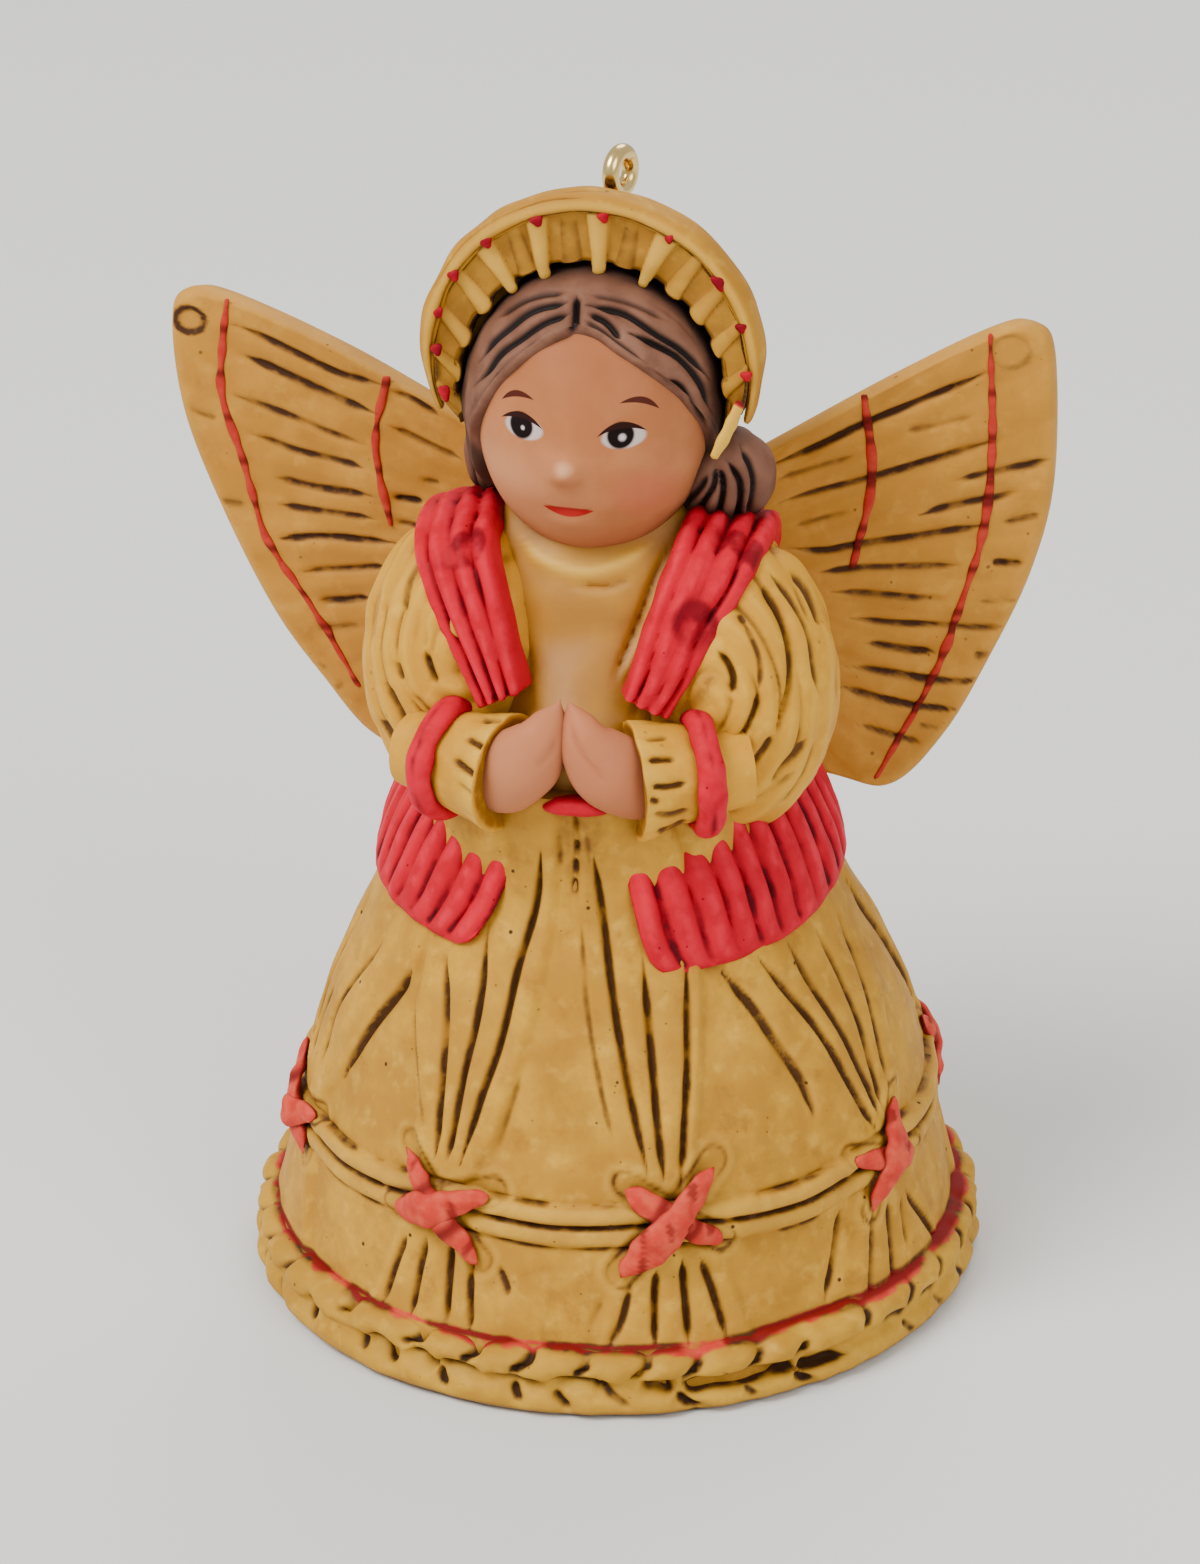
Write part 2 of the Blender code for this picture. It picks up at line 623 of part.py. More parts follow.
def make_wing(side, outline, sweep):
    line = smooth_line([(out, height, 0) for out, height in outline], 2)
    focus = Vector((*WING_FOCUS, 0))
    out_way = Vector((side * cos(radians(sweep)), sin(radians(sweep)), 0))
    thick_way = Vector((-out_way.y, out_way.x, 0))
    root = Vector((side * WING_ROOT[0], WING_ROOT[1], 0))
    sheets = []
    for face in (1, -1):
        rows = []
        for index, edge in enumerate(line):
            groove = WING_GROOVE_DEPTH if index % 2 else 0
            row = []
            for share, thickness, cut in WING_ROWS:
                place = focus + (edge - focus) * share
                depth = WING_DEPTH / 2 * thickness - groove * cut
                row.append(root + out_way * place.x + Vector((0, 0, place.y)) + thick_way * face * depth)
            rows.append(row)
        sheets.append(rows)
    return slab("wing", *sheets)


def cylinder(name, top, length, radius, sides):
    rings = []
    for level in (top.z, top.z - length):
        rings.append([Vector((top.x + radius * cos(2 * pi * corner / sides),
                              top.y + radius * sin(2 * pi * corner / sides), level)) / UNIT
                      for corner in range(sides)])
    return loft(name, rings)


def merge_flat(mesh):
    """Join facets that lie in one plane, then cut every face into triangles."""
    shell = bmesh.new()
    shell.from_mesh(mesh)
    bmesh.ops.dissolve_limit(shell, angle_limit=FLAT_ANGLE, verts=shell.verts, edges=shell.edges)
    bmesh.ops.connect_verts_nonplanar(shell, angle_limit=FLAT_ANGLE / 10, faces=shell.faces)
    bmesh.ops.triangulate(shell, faces=shell.faces)
    shell.to_mesh(mesh)
    shell.free()


def combine(name, bodies, operation):
    """Join or cut the first body with all the others."""
    first = bodies[0]
    others = bpy.data.collections.new(name + "_parts")
    for body in bodies[1:]:
        others.objects.link(body)
    modifier = first.modifiers.new(operation.lower(), "BOOLEAN")
    modifier.operation = operation
    modifier.solver = "EXACT"
    modifier.operand_type = "COLLECTION"
    modifier.collection = others
    depsgraph = bpy.context.evaluated_depsgraph_get()
    result = bpy.data.meshes.new_from_object(first.evaluated_get(depsgraph))
    merge_flat(result)
    for body in bodies:
        bpy.data.objects.remove(body)
    bpy.data.collections.remove(others)
    joined = bpy.data.objects.new(name, result)
    bpy.context.scene.collection.objects.link(joined)
    return joined


def paint(part, finish):
    colour, roughness, metallic = finish
    material = bpy.data.materials.new(part.name + "_finish")
    material.use_nodes = True
    shader = material.node_tree.nodes["Principled BSDF"]
    shader.inputs["Base Color"].default_value = colour
    shader.inputs["Roughness"].default_value = roughness
    shader.inputs["Metallic"].default_value = metallic
    part.data.materials.clear()
    part.data.materials.append(material)


def crown_top():
    """Height of the crown's surface where the eye stands, in metres."""
    x, y = EYE_PLACE
    return (BONNET_CENTRE[2] + (crown_radius(y) ** 2 - x ** 2) ** 0.5) * UNIT


def make_figure():
    bodies = [make_skirt(), make_foot(), make_peplum(), make_torso()]
    bodies += [make_rim(), make_flange(), make_crown()]
    bodies += [make_knot(angle, tilt) for angle, tilt in zip(KNOT_ANGLES, KNOT_TILTS)]
    bodies.append(ovoid("chest_fill", CHEST_FILL_CENTRE, CHEST_FILL_RADII, CHEST_FILL_CUTS))
    bodies.append(ovoid("head", HEAD_CENTRE, HEAD_RADII, HEAD_CUTS))
    bodies.append(ovoid("nose", NOSE_CENTRE, NOSE_RADII, NOSE_CUTS))
    for side in (-1, 1):
        bodies += [make_band(side), make_sleeve(side), make_cuff(side), make_cuff_band(side)]
        bodies += [make_hand(side), make_hair(side), make_bun(side)]
    bodies.append(make_wing(-1, LEFT_WING, LEFT_WING_SWEEP))
    bodies.append(make_wing(1, RIGHT_WING, RIGHT_WING_SWEEP))
    joined = combine("joined", bodies, "UNION")
    mouth = Vector((EYE_PLACE[0] * UNIT, EYE_PLACE[1] * UNIT, crown_top() + EYE_DIAMETER))
    socket = cylinder("socket", mouth, EYE_DIAMETER + SHANK_LENGTH + SOCKET_CLEARANCE,
                      WIRE_DIAMETER / 2 + SOCKET_CLEARANCE, 2 * WIRE_SIDES)
    figure = combine("angel_figure", [joined, socket], "DIFFERENCE")
    paint(figure, STRAW)
    return figure


def make_eye():
    loop_radius = (EYE_DIAMETER - WIRE_DIAMETER) / 2
    foot = Vector((EYE_PLACE[0] * UNIT, EYE_PLACE[1] * UNIT, crown_top()))
    centre = foot + Vector((0, 0, EYE_DIAMETER / 2 + SOCKET_CLEARANCE))
    turn = radians(EYE_TURN)
    across = Vector((cos(turn), sin(turn), 0))
    facing = Vector((-sin(turn), cos(turn), 0))
    rings = []
    for column in range(LOOP_SEGMENTS):
        angle = 2 * pi * column / LOOP_SEGMENTS
        out = across * cos(angle) + Vector((0, 0, sin(angle)))
        ring = []
        for corner in range(WIRE_SIDES):
            tube = 2 * pi * corner / WIRE_SIDES
            reach = loop_radius + WIRE_DIAMETER / 2 * cos(tube)
            ring.append((centre + out * reach + facing * WIRE_DIAMETER / 2 * sin(tube)) / UNIT)
        rings.append(ring)
    loop = loft("loop", rings, closed=True)
    shank_top = centre - Vector((0, 0, loop_radius))
    shank = cylinder("shank", shank_top, shank_top.z - foot.z + SHANK_LENGTH,
                     WIRE_DIAMETER / 2 * SHANK_SHARE, WIRE_SIDES)
    eye = combine("hanging_eye", [loop, shank], "UNION")
    paint(eye, BRASS)
    return eye


clear_scene()
for part in (make_figure(), make_eye()):
    part.data.validate()
    for face in part.data.polygons:
        face.use_smooth = part.name == "hanging_eye"
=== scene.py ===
from math import cos, pi, radians, sin

import bpy
import numpy as np
from mathutils import Matrix, Vector


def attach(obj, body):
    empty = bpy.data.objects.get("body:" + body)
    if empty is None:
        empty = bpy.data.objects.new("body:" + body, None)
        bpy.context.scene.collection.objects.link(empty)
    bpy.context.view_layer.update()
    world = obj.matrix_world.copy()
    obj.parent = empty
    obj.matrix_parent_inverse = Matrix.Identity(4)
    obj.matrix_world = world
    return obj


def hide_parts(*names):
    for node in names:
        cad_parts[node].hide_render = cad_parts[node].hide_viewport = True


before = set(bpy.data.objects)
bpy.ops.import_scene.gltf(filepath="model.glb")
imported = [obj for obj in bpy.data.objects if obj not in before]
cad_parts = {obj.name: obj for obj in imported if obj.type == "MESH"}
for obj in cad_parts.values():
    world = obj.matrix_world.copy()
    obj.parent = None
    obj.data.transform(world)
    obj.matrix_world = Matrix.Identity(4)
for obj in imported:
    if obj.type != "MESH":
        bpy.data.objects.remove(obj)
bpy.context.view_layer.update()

# Lengths in the dictionaries are millimetres, angles are degrees. +Z is up and the figure looks toward -Y.
# Angles round the skirt start at the front and grow toward +X.
millimetre = 0.001
print("frame loaded with", ", ".join(sorted(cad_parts)))


# Shapes by numbers

def softTable(points, value):
    # a two-column table read between its points, without corners
    keys, levels = np.array(points, float).T
    value = np.clip(value, keys[0], keys[-1])
    place = np.clip(np.searchsorted(keys, value, side="right") - 1, 0, len(keys) - 2)
    span = keys[place + 1] - keys[place]
    share = (value - keys[place]) / span
    slopes = np.gradient(levels, keys)
    low, high = levels[place], levels[place + 1]
    bend = share * (1 - share) * span
    return (low + (high - low) * share * share * (3 - 2 * share)
            + bend * ((1 - share) * slopes[place] - share * slopes[place + 1]))


def ease(start, end, value):
    share = np.clip((value - start) / (end - start), 0, 1)
    return share * share * (3 - 2 * share)


def dip(distance, width):
    return np.exp(-(distance / width) ** 2)


def dome(value):
    # a round hump over -1 to 1
    return np.sqrt(np.clip(1 - value * value, 0, 1))


def wobble(x, y, z, size, seed):
    # smooth uneven numbers from about -1 to 1, as handwork leaves
    dice = np.random.default_rng(seed)
    total = 0
    for turn in range(7):
        way = dice.normal(size=3)
        way *= (0.7 + 0.6 * dice.random()) / np.linalg.norm(way)
        total = total + np.sin((x * way[0] + y * way[1] + z * way[2]) * 2 * pi / size
                + dice.uniform(0, 2 * pi))
    return total / 3.7


def smoothLine(points, steps=8):
    # the points of a smooth line through a few
    points = np.array(points, float)
    if len(points) < 3:
        return np.linspace(points[0], points[-1], steps + 1)
    marks = np.arange(len(points))
    finer = np.linspace(0, len(points) - 1, (len(points) - 1) * steps + 1)
    return np.stack([softTable(np.stack([marks, column], 1), finer) for column in points.T], 1)


def carvedLines(x, y, lines, width, across=1.0):
    # how deep each point lies in the nearest carved line, each thinning out at its ends
    across = np.broadcast_to(across, np.shape(x))
    marks = np.zeros(np.shape(x))
    for strength, line in lines:
        points = smoothLine(line)
        reach = 3 * width
        side = reach / max(float(across.min()), 0.01)
        near = ((x > points[:, 0].min() - side) & (x < points[:, 0].max() + side)
                & (y > points[:, 1].min() - reach) & (y < points[:, 1].max() + reach))
        if not near.any():
            continue
        scale, best = across[near], np.zeros(int(near.sum()))
        for index, (start, end) in enumerate(zip(points[:-1], points[1:])):
            runX, runY = (end[0] - start[0]) * scale, end[1] - start[1]
            farX, farY = (x[near] - start[0]) * scale, y[near] - start[1]
            share = np.clip((farX * runX + farY * runY) / (runX ** 2 + runY ** 2 + 1e-9), 0, 1)
            distance = np.hypot(farX - runX * share, farY - runY * share)
            whole = (index + share) / (len(points) - 1)
            thin = 0.35 + 0.65 * ease(0, 0.18, whole) * ease(1, 0.82, whole)
            best = np.maximum(best, dip(distance, width * thin) * thin)
        marks[near] = np.maximum(marks[near], best * strength)
    return marks


sight = (37.7, -196.4, 114.9)


def seenAt(x, y, z, plane):
    # where the line of sight through a point meets an upright plane: what is drawn there keeps its drawn shape
    share = (plane - sight[1]) / (y - sight[1])
    return sight[0] + (x - sight[0]) * share, sight[2] + (z - sight[2]) * share


def segmentDistance(x, y, start, end):
    runX, runY = end[0] - start[0], end[1] - start[1]
    share = np.clip(((x - start[0]) * runX + (y - start[1]) * runY) / (runX ** 2 + runY ** 2), 0, 1)
    return np.hypot(x - start[0] - runX * share, y - start[1] - runY * share)


# Making a piece

def slopes(place, axis, wraps):
    if not wraps:
        return np.gradient(place, axis=axis)
    ring = np.delete(place, -1, axis=axis)
    run = np.roll(ring, -1, axis=axis) - np.roll(ring, 1, axis=axis)
    return np.concatenate([run, np.take(run, [0], axis=axis)], axis=axis)


def carve(name, columns, rows, shape, relief=None, wraps=(True, False)):
    # a grid laid on a surface, then cut along the surface's normals; the cuts' marks are kept for the paint
    bpy.ops.object.select_all(action="DESELECT")
    bpy.ops.mesh.primitive_grid_add(x_subdivisions=columns, y_subdivisions=rows, size=2)
    piece = bpy.context.active_object
    piece.name = piece.data.name = name
    mesh = piece.data
    flat = np.empty(len(mesh.vertices) * 3)
    mesh.vertices.foreach_get("co", flat)
    across = (flat[0::3].reshape(rows + 1, columns + 1) + 1) / 2
    along = (flat[1::3].reshape(rows + 1, columns + 1) + 1) / 2
    place = np.stack(np.broadcast_arrays(*shape(across, along)), -1).astype(float)
    marks = {}
    if relief:
        normal = np.cross(slopes(place, 1, wraps[0]), slopes(place, 0, wraps[1]))
        size = np.linalg.norm(normal, axis=-1, keepdims=True)
        outward = np.sign(((place - place.mean((0, 1))) * normal).sum())
        normal = outward * normal / np.where(size > 1e-7, size, 1)
        height, marks = relief(across, along, place)
        place = place + normal * height[..., None]
    if wraps[0]:
        place[:, -1] = place[:, 0]
    if wraps[1]:
        place[-1] = place[0]
    mesh.vertices.foreach_set("co", (place * millimetre).ravel())
    for mark, values in marks.items():
        attribute = mesh.attributes.new(mark, "FLOAT", "POINT")
        values = np.clip(np.broadcast_to(values, across.shape), 0, 1.5)
        attribute.data.foreach_set("value", values.astype(np.float32).ravel())
    closeUp(piece)
    return piece


def closeUp(piece, corner=70):
    # seams and poles are merged, open ends filled, and faces turned outward
    bpy.ops.object.select_all(action="DESELECT")
    piece.select_set(True)
    bpy.context.view_layer.objects.active = piece
    bpy.ops.object.mode_set(mode="EDIT")
    bpy.ops.mesh.select_mode(type="EDGE")
    bpy.ops.mesh.select_all(action="SELECT")
    bpy.ops.mesh.remove_doubles(threshold=0.002 * millimetre)
    bpy.ops.mesh.select_all(action="DESELECT")
    bpy.ops.mesh.select_non_manifold(extend=False, use_wire=False, use_multi_face=False,
                                     use_non_contiguous=False, use_verts=False)
    bpy.ops.mesh.fill_holes(sides=0)
    bpy.ops.mesh.select_all(action="SELECT")
    bpy.ops.mesh.normals_make_consistent(inside=False)
    bpy.ops.object.mode_set(mode="OBJECT")
    bpy.ops.object.shade_smooth_by_angle(angle=radians(corner))


def joined(name, pieces):
    bpy.ops.object.select_all(action="DESELECT")
    for piece in pieces:
        piece.select_set(True)
    bpy.context.view_layer.objects.active = pieces[0]
    bpy.ops.object.join()
    whole = bpy.context.active_object
    whole.name = whole.data.name = name
    return whole


def finishPiece(piece, finish, node="angel_figure"):
    piece.data.materials.clear()
    piece.data.materials.append(finish)
    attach(piece, "root")
    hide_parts(node)


# Finishes

class Wire:
    # a node's output; sums of wires and numbers add their own Math nodes
    def __init__(self, tree, socket):
        self.tree = tree
        self.socket = socket

    def make(self, kind, settings, inputs, output=0):
        node = self.tree.nodes.new(kind)
        stops = settings.pop("stops", None)
        for key, value in settings.items():
            setattr(node, key, value)
        if stops:
            while len(node.color_ramp.elements) < len(stops):
                node.color_ramp.elements.new(0.5)
            for element, (place, level) in zip(node.color_ramp.elements, stops):
                element.position = place
                element.color = (level, level, level, 1)
        for key, value in inputs.items():
            if isinstance(value, Wire):
                self.tree.links.new(value.socket, node.inputs[key])
            else:
                node.inputs[key].default_value = value
        return Wire(self.tree, node.outputs[output])

    def count(self, operation, *terms):
        return self.make("ShaderNodeMath", {"operation": operation}, dict(enumerate(terms)))

    def __add__(self, other):
        return self.count("ADD", self, other)

    def __radd__(self, other):
        return self.count("ADD", other, self)

    def __sub__(self, other):
        return self.count("SUBTRACT", self, other)

    def __rsub__(self, other):
        return self.count("SUBTRACT", other, self)

    def __mul__(self, other):
        return self.count("MULTIPLY", self, other)

    def __rmul__(self, other):
        return self.count("MULTIPLY", other, self)

    def __truediv__(self, other):
        return self.count("DIVIDE", self, other)

    def __rtruediv__(self, other):
        return self.count("DIVIDE", other, self)

    def __pow__(self, other):
        return self.count("POWER", self, other)

    def between(self, low, high):
        # 0 below low, 1 above high; low may be the higher of the two
        return self.make("ShaderNodeMapRange", {"interpolation_type": "SMOOTHSTEP"},
                         {"Value": self, "From Min": low, "From Max": high})

    def paint(self, under, over):
        # this wire as the mask that lays one colour over another
        inputs = {0: self, 6: colour(under), 7: colour(over)}
        return self.make("ShaderNodeMix", {"data_type": "RGBA"}, inputs, 2)


def colour(value):
    return value if isinstance(value, Wire) else (*value, 1)


class Finish:
    # a new material with what every finish reads: the place on the piece in millimetres, and its carving marks
    def __init__(self, name):
        self.material = bpy.data.materials.new(name)
        self.material.use_nodes = True
        self.tree = self.material.node_tree
        self.start = Wire(self.tree, None)
        spot = self.start.make("ShaderNodeTexCoord", {}, {}, "Object")
        self.spot = self.start.make("ShaderNodeVectorMath", {"operation": "SCALE"},
                {0: spot, "Scale": 1000.0})
        # how enclosed each spot is; the finishes below use it to darken colour as painted shade in creases and
        # where parts meet
        self.crevice = self.start.make("ShaderNodeAmbientOcclusion", {"samples": 5},
                                       {"Distance": 0.9 * millimetre}, "AO")

    def mark(self, label):
        return self.start.make("ShaderNodeAttribute", {"attribute_name": label}, {}, "Fac")

    def cloud(self, size, detail=2.0, roughness=0.5):
        return self.start.make("ShaderNodeTexNoise", {"noise_dimensions": "3D"},
                               {"Vector": self.spot, "Scale": 1 / size, "Detail": detail,
                                "Roughness": roughness}, "Fac")

    def specks(self, size, radius, share):
        # small round marks, in only some of the cells
        values = {"Vector": self.spot, "Scale": 1 / size, "Randomness": 1.0}
        cells = self.start.make("ShaderNodeTexVoronoi", {"feature": "F1"}, values, "Distance")
        kind = self.start.make("ShaderNodeTexVoronoi", {"feature": "F1"}, values, "Color")
        kind = self.start.make("ShaderNodeSeparateColor", {}, {0: kind}, 0)
        return cells.between(radius * 1.25, radius * 0.7) * kind.between(1 - share, 1 - share * 0.8)

    def end(self, base, roughness, height, depth, gloss=0.4):
        shader = self.tree.nodes["Principled BSDF"]
        self.tree.links.new(base.socket, shader.inputs["Base Color"])
        self.tree.links.new(roughness.socket, shader.inputs["Roughness"])
        bump = base.make("ShaderNodeBump", {}, {"Height": height, "Distance": depth * millimetre,
                "Strength": 0.6})
        self.tree.links.new(bump.socket, shader.inputs["Normal"])
        shader.inputs["Specular IOR Level"].default_value = gloss
        return self.material


def strawFinish(name, look):
    # painted casting: straw colour, antique brown rubbed into the grooves, painted shade in enclosed spots, and red
    # or pale paint where marked
    finish = Finish(name)
    base = finish.cloud(2.6, 3).between(0.36, 0.66).paint(look["shade"], look["straw"])
    base = (finish.cloud(1.0, 4).between(0.52, 0.74) * 0.45).paint(base, look["light"])
    base = (finish.cloud(1.7, 4, roughness=0.65).between(0.52, 0.76) * look["blotch"]).paint(base,
            look["ochre"])
    base = (finish.cloud(0.32, 3).between(0.4, 0.7) * 0.3).paint(base, look["shade"])
    base = (finish.mark("pale") * 0.75).paint(base, look["light"])
    uneven = finish.cloud(0.8, 3).between(0.3, 0.6) * 0.5 + 0.5
    # darker in enclosed spots: the antique brown in the hollows, and painted shade where parts meet and overhang
    soakAndShade = (1 - finish.crevice).between(0.1, 0.75) * look["crevice"]
    base = (soakAndShade * uneven).paint(base, look["soakAndShade"])
    # darker where marked: stains, and the painted shade that some pieces mark with them
    base = (finish.mark("stainAndShade") * uneven * 1.1).between(0.02, 1.0).paint(base, look["soakAndShade"])
    # dark along the marked lines: the antique wash, and the painted shade that some pieces mark with it
    washAndShade = (finish.mark("washAndShade") * uneven * 1.15).between(0.1, 0.72)
    halo = (finish.mark("washAndShade") * 2.2).between(0.05, 1.0) * 0.55
    base = halo.paint(base, look["soakAndShade"])
    base = washAndShade.paint(base, look["washAndShade"])
    pits = (finish.specks(0.9, 0.11, 0.16) + finish.specks(0.42, 0.13, 0.07) * 0.6) * look["pits"]
    base = pits.paint(base, look["washAndShade"])
    red = (finish.mark("paint") + (finish.cloud(0.5, 3) - 0.5) * 0.6).between(0.3, 0.75)
    coat = finish.cloud(0.7, 3).between(0.35, 0.7).paint(look["coral"], look["coralLight"])
    # the red paint darker in its grooves and, as painted shade, in enclosed spots
    coat = ((finish.mark("washAndShade") + soakAndShade) * 1.1).between(0.1, 0.8).paint(coat, look["coralDeep"])
    base = red.paint(base, coat)
    roughness = 0.5 + finish.cloud(1.5, 3) * 0.16 + washAndShade * 0.12 - finish.mark("pale") * 0.05
    height = finish.cloud(0.28, 4) * 0.6 + finish.cloud(1.4, 2) - pits * 1.5
    return finish.end(base, roughness, height, look["grain"], 0.16)


def redFinish(name, look):
    finish = Finish(name)
    base = finish.cloud(1.8, 3).between(0.35, 0.68).paint(look["red"], look["middle"])
    base = (finish.mark("pale") * finish.cloud(0.9, 3).between(0.3, 0.65) * 0.9).paint(base, look["light"])
    uneven = finish.cloud(1.3, 3).between(0.32, 0.62) * 0.5 + 0.45
    # darker red in enclosed spots: painted shade, with the wash in the hollows
    soakAndShade = (1 - finish.crevice).between(0.12, 0.8) * look["crevice"]
    base = (soakAndShade * uneven).paint(base, look["deep"])
    base = (finish.mark("washAndShade") * uneven * 1.25).between(0.08, 0.9).paint(base, look["washAndShade"])
    bare = (finish.mark("bare") + (finish.cloud(0.4, 3) - 0.5) * 0.4).between(0.42, 0.6)
    base = bare.paint(base, look["straw"])
    base = (finish.specks(0.6, 0.1, 0.08) * 0.7).paint(base, look["washAndShade"])
    roughness = 0.46 + finish.cloud(1.2, 3) * 0.18
    height = finish.cloud(0.25, 4) * 0.6 + finish.cloud(1.2, 2)
    return finish.end(base, roughness, height, look["grain"], 0.08)


looks = {
    "skirt": {"straw": (0.58, 0.295, 0.022), "shade": (0.45, 0.21, 0.016), "light": (0.74, 0.43, 0.06),
              "ochre": (0.33, 0.13, 0.010), "soakAndShade": (0.22, 0.085, 0.009), "washAndShade": (0.075, 0.028, 0.006),
              "coral": (0.56, 0.035, 0.02), "coralLight": (0.66, 0.08, 0.04),
              "coralDeep": (0.20, 0.008, 0.006),
              "blotch": 0.7, "crevice": 0.95, "pits": 1.0, "grain": 0.05},
    "braid": {"straw": (0.55, 0.29, 0.022), "shade": (0.45, 0.22, 0.016), "light": (0.70, 0.42, 0.06),
              "ochre": (0.36, 0.15, 0.012), "soakAndShade": (0.20, 0.08, 0.009), "washAndShade": (0.045, 0.018, 0.006),
              "coral": (0.54, 0.03, 0.018), "coralLight": (0.62, 0.07, 0.035),
              "coralDeep": (0.20, 0.006, 0.005),
              "blotch": 0.4, "crevice": 0.8, "pits": 0.7, "grain": 0.05},
    "cream": {"bodiceShade": (0.40, 0.175, 0.014), "bodiceStraw": (0.50, 0.235, 0.016),
            "bodiceOchre": (0.36, 0.145, 0.012), "bodiceShadow": (0.30, 0.11, 0.010),
              "straw": (0.66, 0.325, 0.022), "shade": (0.57, 0.265, 0.016), "light": (0.79, 0.46, 0.05),
              "ochre": (0.48, 0.20, 0.012), "soakAndShade": (0.28, 0.11, 0.009), "washAndShade": (0.11, 0.042, 0.007),
              "coral": (0.56, 0.035, 0.02), "coralLight": (0.66, 0.08, 0.04),
              "coralDeep": (0.20, 0.008, 0.006),
              "blotch": 0.35, "crevice": 0.65, "pits": 0.35, "grain": 0.03},
    "wing": {"straw": (0.54, 0.245, 0.028), "shade": (0.46, 0.20, 0.020), "light": (0.64, 0.33, 0.05),
             "ochre": (0.38, 0.14, 0.012), "soakAndShade": (0.20, 0.075, 0.010), "washAndShade": (0.055, 0.02, 0.006),
             "coral": (0.42, 0.022, 0.012), "coralLight": (0.50, 0.04, 0.02),
             "coralDeep": (0.15, 0.006, 0.004),
             "blotch": 0.5, "crevice": 0.6, "pits": 0.6, "grain": 0.04},
    "bonnet": {"straw": (0.50, 0.235, 0.018), "shade": (0.42, 0.185, 0.013), "light": (0.68, 0.38, 0.05),
               "ochre": (0.36, 0.14, 0.010), "soakAndShade": (0.22, 0.085, 0.009), "washAndShade": (0.06, 0.022, 0.007),
               "coral": (0.42, 0.022, 0.012), "coralLight": (0.50, 0.04, 0.02),
               "coralDeep": (0.15, 0.006, 0.004),
               "blotch": 0.45, "crevice": 0.7, "pits": 0.5, "grain": 0.04},
    "red": {"red": (0.50, 0.002, 0.016), "middle": (0.60, 0.003, 0.022), "light": (0.74, 0.022, 0.05),
            "deep": (0.15, 0.002, 0.006), "washAndShade": (0.085, 0.003, 0.006), "straw": (0.58, 0.31, 0.07),
            "crevice": 0.85, "grain": 0.03},
}
skirtStraw = strawFinish("skirt_straw", looks["skirt"])
braidStraw = strawFinish("braid_straw", looks["braid"])
creamStraw = strawFinish("cream_straw", looks["cream"])
wingStraw = strawFinish("wing_straw", looks["wing"])
bonnetStraw = strawFinish("bonnet_straw", looks["bonnet"])
jacketRed = redFinish("jacket_red", looks["red"])


# Skirt with its fans of straw, belt and panels

